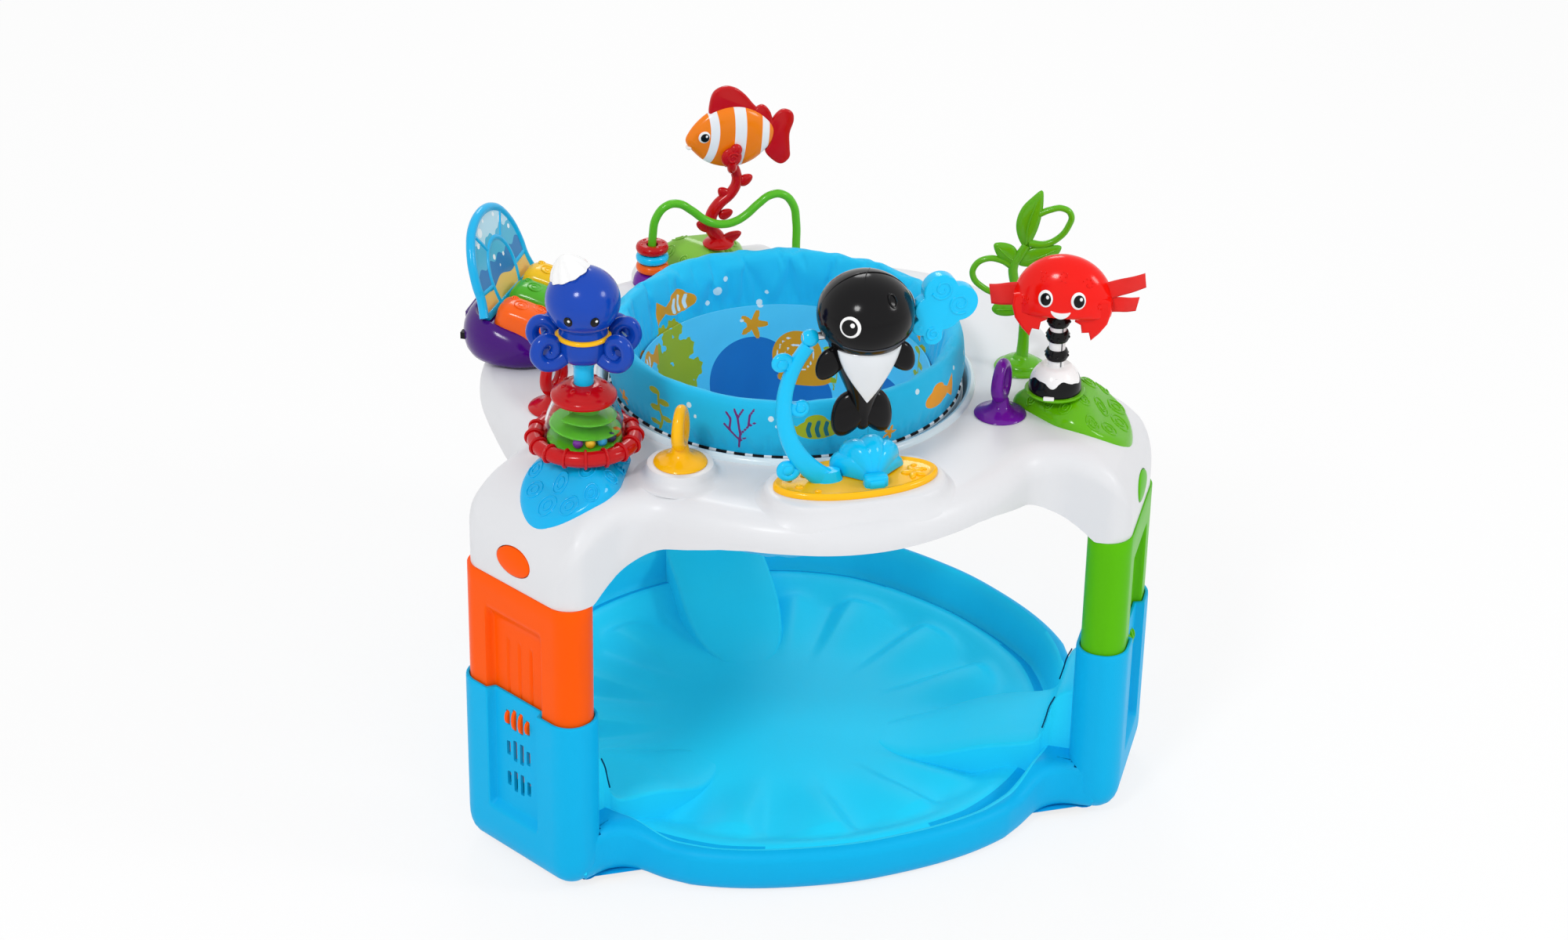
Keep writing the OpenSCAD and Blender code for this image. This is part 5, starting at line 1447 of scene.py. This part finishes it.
# bead run: one bent wire between two feet, three rings that slide
beads = {"y": 253, "foot": 82, "wire": 4.6}


def buildBeads():
    here = move(0, beads["y"], 0)
    foot = beads["foot"]
    half = [(foot, 440), (foot, 462), (81.5, 492), (77, 514), (65, 526.5), (52, 527), (38, 518), (24, 506), (12, 499.5)]
    line = [(x, 0, z) for x, z in half] + [(0, 0, 497.5)] + [(-x, 0, z) for x, z in reversed(half)]
    piece("bead_run", "tray", [(tube(line, beads["wire"], 6), here, "spiralGreen")], "bead_wire")
    dome = [(0, 450), (12, 449.8), (16, 448.6), (18.6, 446), (20.4, 442), (21.4, 438), (21.6, 436.2), (0, 436)]
    piece("bead_feet", "tray", [(lathe(dome, 48), here @ move(x, 0, 0), "loopPurple") for x in (-foot, foot)],
          "bead_base")
    for k, (name, colour) in enumerate((("orange", "keyOrange"), ("blue", "skyBlue"), ("red", "ringRed"))):
        z = 450.3 + 11.3 * k + 5.5
        ring = [(6.4, -3.4), (8, -4.6), (11, -5.4), (14.5, -5.2), (17, -3.6), (18, -1), (18, 1), (17, 3.6),
                (14.5, 5.2), (11, 4.6), (8, 4.2), (6.4, 3.4), (6.4, -3.4)]
        parts = [(lathe(ring, 48), here @ move(-foot, 0, z), colour)]
        for j in range(6):
            parts.append((ball(1.9, 2.8, 1.3, 12), here @ move(-foot, 0, z + 4.4) @ turnZ(60 * j) @ move(12.4, 0, 0),
                          colour))
        piece("ring_" + name, "bead_ring_" + name, parts, "bead_ring_" + name)


# fish on a coral stalk; it rocks on a steel pin
fish = {"at": (0, 280), "middle": (12, 590)}


def fishOutline():
    line = [(-50, -2), (-46, 9), (-36, 21), (-22, 31), (-4, 36), (14, 35), (30, 28), (42, 18), (49, 8), (50, 0),
            (47, -10), (38, -21), (24, -31), (6, -36), (-12, -34), (-28, -27), (-41, -15)]
    return [(p.x, p.y) for p in through(line)]


# white bands: signed distance in millimetres, curved like the photograph's
def fishBands(p):
    x, z = p.x - fish["middle"][0], p.z - fish["middle"][1]
    bands = ((-19.5, 5, -0.006, 0.09), (9.5, 6.6, -0.002, 0.05), (38.5, 4.4, 0.001, 0.06))
    return max(half - abs(x - (middle + bend * (z - 4) ** 2 + lean * z)) for middle, half, bend, lean in bands)


def buildFish():
    here = move(*fish["at"], 0)
    at = here @ move(fish["middle"][0], 0, fish["middle"][1])
    points = [(0, 0, 463), (0, 0, 468), (-8, 0, 480), (-9, 0, 494), (-1, 0, 509), (14, 0, 522), (20, 0, 534),
              (19, 0, 546), (14, 0, 556)]
    parts = [(lathe([(0, 461), (17, 461), (17.5, 463), (15, 466), (10, 468), (7, 471), (0, 472)], 48), here),
             (tube(points, 6.2, 6, widths=[1.3, 1.25, 1.15, 1.1, 1.08, 1, 0.95, 0.95, 1]), here)]
    for x, z, long, wide, angle in ((30, 536, 18, 13, -62), (6, 522, 18, 13, 42), (8, 497, 17, 12, -70),
                                    (-16, 485, 20, 14, 66), (14, 468, 26, 13, -68)):
        root = move(x + 0.5 * long * sin(rad(angle)), 0, z - 0.5 * long * cos(rad(angle)))
        parts.append((leafOval(long, wide, 8), here @ root @ turn(-angle, "Y") @ upright))
    for y in (-15.5, 15.5):
        parts.append((ball(11.5, 4, 11.5, 32), here @ move(10, y, 571)))
        parts.append((ball(7, 4, 7.5, 24), here @ move(15, y, 579)))
        parts.append((tube([(13, y * 0.45, 553), (11, y * 0.86, 558), (10, y, 566)], 5.4, 5), here))
        parts.append((swirl(6.5, 1.5, 30), here @ move(11, y * 1.22, 571)))
    piece("coral_stalk", "tray", coloured("coralRed", *parts), "fish_stalk")
    parts = [(pillow(fishOutline(), 23, (2, 0), rings=22, power=0.72), at @ upright, "fishSkin")]
    for y, spin in ((-9.4, 0), (9.4, 180)):
        parts += placed(eye(6.8, 5.1, 0.3), at @ move(-31, y, 5) @ turnZ(spin))
    parts.append((ball(3.4, 5, 2.4, 20), at @ move(-46.5, 0, -9), "pureWhite"))
    inkMask(piece("fish_figure", "fish", parts, "fish_body"), "bandInk", fishBands)
    dorsal = [(-23, 26), (-23, 42), (-18, 54), (-6, 59), (6, 56), (16, 48), (24, 38), (30, 28), (12, 24), (-8, 26)]
    second = [(26, 26), (31, 32), (38, 33), (45, 25), (48, 12), (44, 6), (34, 16)]
    tail = [(44, 7), (51, 20), (60, 26), (70, 22), (72, 12), (67.5, -3), (68, -20), (68, -31), (60, -38), (51, -35),
            (40, -22), (45, -10)]
    parts = [(slab(through(line, count=64), 7, 2.4, 3), at @ upright, "coralRed") for line in (dorsal, second, tail)]
    piece("fish_fin_set", "fish", parts, "fish_fins")


# toy piano: bowl-shaped case, three keys, and a framed fan of plain sea pictures
piano = {"size": (116, 156), "corner": 54, "tilt": 17, "hinge": (17, 486), "key": 31, "keyWide": 20}


def keyDrop(x, y):
    return 3.2 * (x / piano["key"]) ** 2 + 2.2 * (y / piano["keyWide"]) ** 2


# outer: -1, 0 or 1 for the side whose corners follow the case
def keyShape(outer):
    half, wide = piano["key"], piano["keyWide"]
    low, high = 15 if outer < 0 else 9, 15 if outer > 0 else 9
    block = [(half, -wide, low), (half, wide, high), (-half, wide, high), (-half, -wide, low)]
    flat = evenly(roundedCorners(block), 88)
    rings = []
    for draw, z in ((0, 484), (0, 502), (0.5, 504.5), (2, 507), (4.5, 509), (8, 510.4), (11, 511), (14, 511.3)):
        spots = [(p.x * (1 - draw / half), p.y * (1 - draw / wide)) for p in flat]
        rings.append([(x, y, z - (keyDrop(x, y) if z > 500 else 0)) for x, y in spots])
    return solid(rings)


def fanOutline(grow=0.0, count=120):
    half = [(68, 489, 1, 0), (61.5, 506, 1, 0), (60.5, 526, 1, 0), (54, 549, 1, 0.2), (39, 570, 0.8, 0.6),
            (20, 580.5, 0.4, 0.9)]
    line = [(-x - grow * a, z + grow * b) for x, z, a, b in half] + [(0, 583.5 + grow)]
    line += [(x + grow * a, z + grow * b) for x, z, a, b in reversed(half)]
    return through(line, False, count)


# generic sea pictures: waves, hills of sand and bubbles, each a signed distance in millimetres
fanBubbles = ((-30, 562, 4.5), (-42, 548, 2.6), (-18, 572, 2.4), (22, 567, 5), (34, 557, 3), (8, 575, 2),
              (-12, 529, 2.4), (9, 534, 3), (2, 522, 1.6))
fanInks = {
    "seaInk": lambda x, y: 556 + 3 * sin(x * 0.21) + 1.5 * sin(x * 0.47 + 1) - y,
    "deepInk": lambda x, y: 532 + 2.6 * sin(x * 0.27 + 2) - y,
    "sandInk": lambda x, y: 510 + 3.2 * sin(x * 0.12 + 0.7) - y,
    "bubbleInk": lambda x, y: max(r - hypot(x - cx, y - cy) for cx, cy, r in fanBubbles),
}


def buildPiano():
    here = turnZ(150) @ move(285, 0, 0)
    x, y = piano["size"]
    edge, bed = piano["hinge"]
    slope = tan(rad(piano["tilt"]))
    rings = []
    for grow, z in ((-22, 436.2), (-12, 437.5), (-6, 441), (-2.4, 447), (-0.4, 455), (0, 463), (-1, 470), (-3, 476),
                    (-6, 481.5), (-10, 485.5), (-12.5, 486.6), (-14.5, 486), (-16, 484), (-26, 484), (-38, 484),
                    (-50, 484)):
        rings.append([(p.x, p.y, z + slope * min(p.x - edge, 0) * smoothStep(450, 482, z))
                      for p in roundedBox(x + 2 * grow, y + 2 * grow, max(piano["corner"] + grow, 2), 112)])
    piece("piano_case", "tray", [(solid(rings), here, "pianoPurple")], "piano_body")
    # the keys slope to the seat
    tilted = here @ move(edge, 0, bed) @ turn(-piano["tilt"], "Y") @ move(-edge, 0, -bed)
    for name, side, colour in (("orange", 1, "keyOrange"), ("green", 0, "keyGreen"), ("yellow", -1, "keyYellow")):
        at = tilted @ move(-15, 45 * side, 0)
        parts = [(keyShape(side), at, colour)]
        for cx, cy, r in ((9, 3, 7.5), (-10, -4, 7), (19, -7, 3.5), (-20, 7, 3.5)):
            for ring in (r, r * 0.45):
                parts.append((hoop(ring, 0.8, 28, 8), at @ move(cx, cy, 511 - keyDrop(cx, cy)), colour))
        piece("piano_key_" + name, "key_" + name, parts, "key_" + name, sharp=60)
    foot = here @ move(20, -4, 489) @ turnZ(-3.4) @ turn(18, "Y")
    face = foot @ move(0, 0, -489) @ facing              # flat x along the fan, y up, front towards the centre
    front = [(p.x, p.y) for p in fanOutline()]
    piece("fan_picture", "tray", [(slab(front, 5, 1, 2), face, "fanBlue")], "picture_fan")
    line = fanOutline(-3)
    rows = [[a.lerp(b, i / 60) for i in range(61)] for a, b in zip(line[:len(line) // 2], reversed(line))]
    toFlat = face.inverted()
    for name, side in (("back", -1), ("front", 1)):
        shape = faceUp(loft(rows, closed=False), lambda f: side * f.normal.z)
        card = piece("fan_card_" + name, "tray", [(shape, face @ move(0, 0, side * 2.8), "fanPicture")])
        for ink, distance in fanInks.items():
            inkMask(card, ink, lambda p: distance(*(toFlat @ p).xy))
    inner = [(-27, 490), (-30, 508), (-29, 524), (-22, 539), (-12, 548), (0, 551), (12, 548), (22, 539), (29, 524),
             (30, 508), (27, 490)]
    frames = [(tube([(p.x, p.y, 0) for p in fanOutline(-1, 24)], 5, 5), face),
              (tube([(a, b, 0) for a, b in inner], 4.2, 5), face)]
    for a, b in (((-17, 545), (-36, 570)), ((17, 545), (36, 570)), ((-30, 510), (-59, 512)), ((30, 510), (59, 512))):
        middle = ((a[0] + b[0]) / 2, (a[1] + b[1]) / 2, 0)
        frames.append((tube([(*a, 0), middle, (*b, 0)], 3.8, 5), face))
    frames.append((box(9, 126, 8, 2), foot @ move(0, 0, -1)))
    piece("fan_frame", "tray", coloured("fanBlue", *frames))


buildWhale()
ribbons = buildCrab()
buildSeaweed()
buildBeads()
buildFish()
buildPiano()
print("toys ready")


# seat: padded printed collar with piping round its hem, and a cloth bag with two leg holes
seat = {"around": 300, "top": 499, "bagArea": 0.17, "cuts": 2, "frames": 20, "cap": 6,
        "inside": 158, "outside": 182, "printHalf": 330, "girth": 0.178}
stuffing = {"quality": 5, "mass": 0.25, "tension_stiffness": 12, "compression_stiffness": 12, "shear_stiffness": 4,
            "bending_stiffness": 0.6, "vertex_group_mass": "hem", "use_pressure": True, "uniform_pressure_force": 3.2,
            "shrink_min": -0.02}
piping = {"radius": 182.6, "wire": 1.6, "z": 437.6, "dashes": 60}
collarProfile = [(181.4, 437.4), (182.6, 443), (183, 450), (183.1, 458), (182.8, 466), (182.3, 474), (181.5, 482),
                 (180, 489), (177.6, 494.4), (174.4, 497.4), (171, 498.2), (167.8, 496.4), (165.6, 491), (164.2, 484),
                 (163, 476), (161.8, 468), (160.4, 460), (158.8, 452), (157, 444), (155.8, 437.6), (161, 436.8),
                 (168, 436.8), (175, 436.8)]


# soft pleats, deepest at the back where the cloth is slack
def crease(angle, z):
    back = 0.35 + 0.65 * smoothStep(-0.3, 0.8, sin(angle))
    spot = Vector((4.2 * cos(angle), 4.2 * sin(angle), z * 0.016))
    fine = Vector((11 * cos(angle), 11 * sin(angle), z * 0.03 + 7))
    fold = 1 - 2.2 * abs(noise.noise(spot))
    return back * (3.2 * (fold - 0.45) + 1.5 * noise.noise(fine))


def collarShape():
    rings = []
    for r, z in collarProfile + collarProfile[:1]:
        hold = smoothStep(437, 470, z)           # the hem is sewn down, so only the upper part moves
        ring = []
        for a in around(seat["around"]):
            slack = crease(a, z) * hold
            lift = hold * (1.6 * noise.noise(Vector((2.5 * cos(a), 2.5 * sin(a), 3))) + 4.5 * max(sin(a), 0) - 0.8)
            ring.append(((r + slack) * cos(a), (r + slack) * sin(a), z + lift))
        rings.append(ring)
    return tidyShape(loft(rings))


# lets the stuffing swell the cover: cloth run for a few frames, each point kept near where it began
def swell(obj):
    mesh = obj.data
    start = [v.co.copy() for v in mesh.vertices]
    pins = obj.vertex_groups.new(name="hem")
    for v in mesh.vertices:
        pins.add([v.index], 1 - smoothStep(0.440, 0.452, v.co.z), "REPLACE")
    soft = obj.modifiers.new("stuffing", "CLOTH")
    for rule, value in stuffing.items():
        setattr(soft.settings, rule, value)
    soft.settings.effector_weights.gravity = 0
    for n in range(1, seat["frames"] + 1):
        scene.frame_set(n)
    held = obj.evaluated_get(shown()).to_mesh()
    moved = [v.co.copy() for v in held.vertices]
    obj.evaluated_get(shown()).to_mesh_clear()
    obj.modifiers.remove(soft)
    obj.vertex_groups.clear()
    scene.frame_set(1)
    limit = seat["cap"] * metre
    for v, a, b in zip(mesh.vertices, start, moved):
        step = b - a
        v.co = a + step * min(1, limit / max(step.length, 1e-9))


def finer(obj, cuts):
    bm = bmesh.new()
    bm.from_mesh(obj.data)
    bmesh.ops.subdivide_edges(bm, edges=bm.edges, cuts=cuts, use_grid_fill=True, smooth=1.0)
    for _ in range(2):
        bmesh.ops.smooth_vert(bm, verts=bm.verts, factor=0.4, use_axis_x=True, use_axis_y=True, use_axis_z=True)
    for f in bm.faces:
        f.smooth = True
    bm.to_mesh(obj.data)
    bm.free()


def isInside(p):
    return hypot(p.x, p.y) < 171 + 0.06 * (p.z - 437) * (p.z < 497)


# UV map in metres: round the seat by up its wall, the inner face running on past the top edge
def clothMap(obj, top):
    layer = obj.data.uv_layers.new(name="weave")
    for face in obj.data.polygons:
        spots = [obj.data.vertices[obj.data.loops[k].vertex_index].co for k in face.loop_indices]
        turns = [atan2(p.y, p.x) for p in spots]
        if max(turns) - min(turns) > pi:
            turns = [t + 2 * pi if t < 0 else t for t in turns]
        for k, p, t in zip(face.loop_indices, spots, turns):
            rise = 2 * top - p.z if isInside(p / metre) else p.z
            layer.data[k].uv = (t * seat["girth"], rise)


# printed sea life: each shape is a signed distance in millimetres on the unrolled cloth, positive inside
def stroke(s, h, ax, ay, bx, by, width):
    dx, dy = bx - ax, by - ay
    t = min(max(((s - ax) * dx + (h - ay) * dy) / (dx * dx + dy * dy), 0), 1)
    return width / 2 - hypot(s - ax - t * dx, h - ay - t * dy)


coralLines = [(0, 0, 2, 16), (2, 16, -1, 34), (2, 16, 10, 26), (10, 26, 11, 38), (10, 26, 17, 31), (0, 10, -9, 20),
              (-9, 20, -8, 32), (-9, 20, -15, 26), (-1, 34, -5, 42), (-1, 34, 4, 43), (11, 38, 15, 44), (1, 8, 8, 13),
              (-8, 32, -13, 38)]


def coral(s, h, at, rise, scale=1.0):
    return max(stroke((s - at) / scale, (h - rise) / scale, *line, 2.3) for line in coralLines) * scale


def oval(s, h, at, rise, long, high):
    return (1 - hypot((s - at) / long, (h - rise) / high)) * min(long, high)


def swimmer(s, h, at, rise, long, way):
    x = (s - at) * way
    y = h - rise
    body = oval(x, y, 0, 0, long * 0.36, long * 0.17)
    tail = min(x - long * 0.30, long * 0.56 - x, 2 + (x - long * 0.30) * 0.75 - abs(y)) if x > 0 else -99
    fin = oval(x, y, long * 0.03, long * 0.15, long * 0.18, long * 0.10)
    return max(body, tail, fin)


def swimmerBars(s, h, at, rise, long, way):
    x = (s - at) * way
    y = h - rise
    bars = max(long * 0.035 - abs(x + 0.3 * abs(y) - long * k) for k in (-0.12, 0.02, 0.16))
    return min(bars, oval(x, y, 0, 0, long * 0.34, long * 0.15))


def frond(s, h, at, rise, tall, lean):
    best = -99
    t = min(max((h - rise) / tall, 0), 1)
    stem = at + lean * t + 4 * sin(5 * t)
    if rise <= h <= rise + tall:
        best = 1.5 - abs(s - stem)
    for k in range(5):
        u = (k + 0.6) / 5
        side = 1 if k % 2 else -1
        best = max(best, oval(s, h, at + lean * u + 4 * sin(5 * u) + side * 7, rise + tall * u + 3, 7.5, 3.4))
    return best


def star(s, h, at, rise, radius):
    x, y = s - at, h - rise
    return radius * (0.62 + 0.38 * cos(5 * atan2(y, x))) - hypot(x, y)


def shrub(s, h, at, rise, scale):
    tufts = ((0, 10, 14), (-16, 16, 12), (16, 14, 12), (-8, 32, 12), (12, 34, 13), (-24, 32, 9), (28, 30, 9),
             (-14, 48, 10), (4, 54, 11), (20, 50, 9), (-4, 68, 8), (10, 70, 7), (-20, 62, 6))
    spots = [(s - at - x * scale, h - rise - y * scale, r) for x, y, r in tufts]
    return max((r + 1.2 * sin(7 * atan2(y, x))) * scale - hypot(x, y) for x, y, r in spots)


def shellSpiral(s, h, at, rise):
    return max(oval(s, h, at, rise, 30, 28), oval(s, h, at + 10, rise - 24, 34, 9))


def shellLine(s, h, at, rise):
    x, y = s - at, h - rise
    r = hypot(x, y)
    t = (atan2(y, x) / (2 * pi)) % 1
    return min(1.3 - abs((r / 9.5 - t + 0.5) % 1 - 0.5) * 9.5, 25 - r)


def bubbles(s, h, spots):
    return max(r - hypot(s - x, h - y) for x, y, r in spots)


# outer face: positions run in millimetres round from the front, right-hand side positive
outerPrint = {
    "plumInk": [(coral, -96, 446), (coral, 250, 444, 0.95), (coral, -330, 445, 0.9)],
    "limeInk": [(swimmer, -18, 470, 62, -1), (swimmer, 420, 468, 54, 1), (frond, -190, 440, 44, 6),
                (frond, 330, 440, 42, -6), (frond, -470, 440, 44, 4)],
    "tealInk": [(swimmerBars, -18, 470, 62, -1), (swimmerBars, 420, 468, 54, 1),
                (stroke, 34, 438, 34, 482, 0.9), (stroke, -200, 446, -30, 446, 0.5)],
    "goldInk": [(swimmer, 128, 468, 58, 1), (star, 60, 452, 9), (star, -250, 452, 10),
                (swimmer, -400, 470, 50, -1)],
    "foamInk": [(bubbles, ((-64, 482, 3), (-58, 474, 2), (96, 486, 3), (166, 484, 2.4), (210, 480, 3.4),
                           (204, 470, 2), (-150, 482, 3), (-142, 472, 2), (300, 482, 2.6), (-300, 480, 3)))],
}
# inner face: the same, seen from inside with the back at the middle
innerPrint = {
    "tealInk": [(oval, 2, 358, 56, 52), (oval, 62, 342, 44, 32), (oval, -196, 352, 46, 34), (oval, 176, 350, 52, 38)],
    "plumInk": [(coral, 150, 388, 1.2), (coral, -225, 400, 1.0)],
    "limeInk": [(shrub, -110, 350, 1.3), (frond, 106, 352, 84, -10), (frond, 236, 378, 66, 8),
                (frond, -176, 372, 62, 6)],
    "goldInk": [(swimmer, -84, 464, 64, -1), (swimmer, -170, 428, 60, 1), (shellSpiral, 58, 388),
                (swimmer, 190, 458, 58, 1), (star, 6, 424, 18)],
    "foamInk": [(bubbles, ((-34, 466, 5), (-24, 478, 3), (-46, 454, 3), (112, 470, 4), (120, 458, 2.6),
                           (14, 446, 3.6), (22, 458, 2.4), (214, 420, 4), (-8, 430, 2.6))),
                (swimmerBars, -84, 464, 64, -1), (swimmerBars, -170, 428, 60, 1), (swimmerBars, 190, 458, 58, 1),
                (shellLine, 58, 388)],
}


def inkAt(layer, s, h):
    return max(shape(s, h, *rest) for shape, *rest in layer)


def printCloth(obj, inner):
    for ink in outerPrint:
        def distance(p, ink=ink):
            a = atan2(p.y, p.x)
            if inner or isInside(p):
                s = -((a - pi / 2 + pi) % (2 * pi) - pi) * seat["inside"]
                return inkAt(innerPrint[ink], s, p.z) if abs(s) < seat["printHalf"] else -9
            s = ((a + pi / 2 + pi) % (2 * pi) - pi) * seat["outside"]
            return inkAt(outerPrint[ink], s, p.z)
        inkMask(obj, ink, distance)


bagProfile = [(152.4, 445), (151.4, 436), (150.4, 426), (149, 410), (147, 393), (144.4, 376.5), (141, 360),
              (136.6, 343), (131, 326), (124, 310.5), (115, 296), (104, 282), (90, 269.5), (74, 259.5), (56, 252),
              (38, 247), (20, 245), (7, 244.5)]
legHole = {"x": 110, "y": -20, "z": 293, "radius": 44, "lean": 124, "reach": (-40, 60)}


def bagRadius(z):
    for (r1, z1), (r2, z2) in zip(bagProfile, bagProfile[1:]):
        if z2 <= z <= z1:
            return r2 + (r1 - r2) * (z - z2) / (z1 - z2)
    return 152 if z > 445 else 0


def bagShape():
    rings = []
    for p in through([(r, z, 0) for r, z in bagProfile], False, 74):
        r, z = p.x, p.y
        ring = []
        loose = smoothStep(432, 380, z) * smoothStep(4, 70, r)
        for a in around(320):
            sway = 2 * noise.noise(Vector((2 * cos(a), 2 * sin(a), 0)))
            pull = loose * (2.6 * noise.noise(Vector((3.4 * cos(a), 3.4 * sin(a), z * 0.012))) +
                            1.3 * sin(18 * a + sway) * smoothStep(400, 300, z))
            ring.append(((r + pull) * cos(a), (r + pull) * sin(a), z))
        rings.append(ring)
    return faceUp(loft(rings, capLast=True), lambda f: f.normal.dot(f.calc_center_median() - Vector((0, 0, 380))))


def holePlace(side):
    return move(side * legHole["x"], legHole["y"], legHole["z"]) @ turn(side * legHole["lean"], "Y")


# where a leg hole's cutter meets the bag's wall
def holeRim(side):
    points = []
    for q in ellipse(legHole["radius"], legHole["radius"], 40):
        low, high = legHole["reach"]
        for _ in range(40):
            mid = (low + high) / 2
            p = holePlace(side) @ Vector((q.x, q.y, mid))
            if p.z > bagProfile[-1][1] and hypot(p.x, p.y) < bagRadius(p.z):
                low = mid
            else:
                high = mid
        points.append(holePlace(side) @ Vector((q.x, q.y, low)))
    return points


def buildSeat():
    collar = piece("collar_pad", "seat", [(collarShape(), Matrix(), "collarCloth")], "seat_collar", sharp=180)
    swell(collar)
    finer(collar, seat["cuts"])
    clothMap(collar, seat["top"] * metre)
    printCloth(collar, False)
    cord = hoop(piping["radius"], piping["wire"], 360, 10)
    pipe = piece("collar_piping", "seat", [(cord, move(0, 0, piping["z"]), "pipingCord")])
    dash = 2 * pi / piping["dashes"]
    inkMask(pipe, "dashInk", lambda p: 183 * dash * (0.2 - abs((atan2(p.y, p.x) / dash) % 1 - 0.5)))
    # the bag's cloth colour is painted lighter against the shade inside the seat
    bag = piece("seat_bag", "seat", [(bagShape(), Matrix(), "bagCloth")], "seat_sling", sharp=180)
    wall(bag, 1.8)
    (low, high), r = legHole["reach"], legHole["radius"]
    cutOut(bag, [(lathe([(0, low), (r, low), (r, high), (0, high)], 72), holePlace(side)) for side in (-1, 1)])
    clothMap(bag, 0.7)
    printCloth(bag, True)
    hems = piece("leg_hems", "seat", [(tube(holeRim(side), 3, 4, True), Matrix(), "hemBlue") for side in (-1, 1)])


# three coil springs between the tray's ledge and the seat's carrier
coil = {"at": 171, "foot": 384, "high": 32, "radius": 9.6, "wire": 1.4, "turns": 5, "steps": 12, "travel": 18}


def buildSprings():
    count = coil["turns"] * coil["steps"]
    climb = coil["high"] - 2 * coil["wire"] - 0.2
    line = []
    for k in range(count + 1):
        a = 2 * pi * k / coil["steps"]
        line.append((coil["radius"] * cos(a), coil["radius"] * sin(a), coil["wire"] + 0.1 + climb * k / count))
    spots = [legFrame(a, coil["at"], coil["foot"]) for a in (270, 150, 30)]
    parts = [(tube(line, coil["wire"], 2), spot, "springSteel") for spot in spots]
    springs = piece("seat_springs", "tray", parts, "bounce_springs")
    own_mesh(springs)


buildSeat()
buildSprings()
print("seat ready")

# CAD parts kept as they are, each with its own finish
kept = {"seat_ring": "rimIce", "seat_carrier": "trayWhite", "whale_axle": "springSteel",
        "fish_pin": "springSteel", "batteries": "cellGrey", "circuit_board": "boardGreen", "speaker": "inkBlack",
        "battery_door": "pianoPurple", "volume_switch": "inkBlack"}
for node, name in kept.items():
    for k in range(len(nodes[node].data.materials)):
        nodes[node].data.materials[k] = finish(name)
print("kept parts finished")
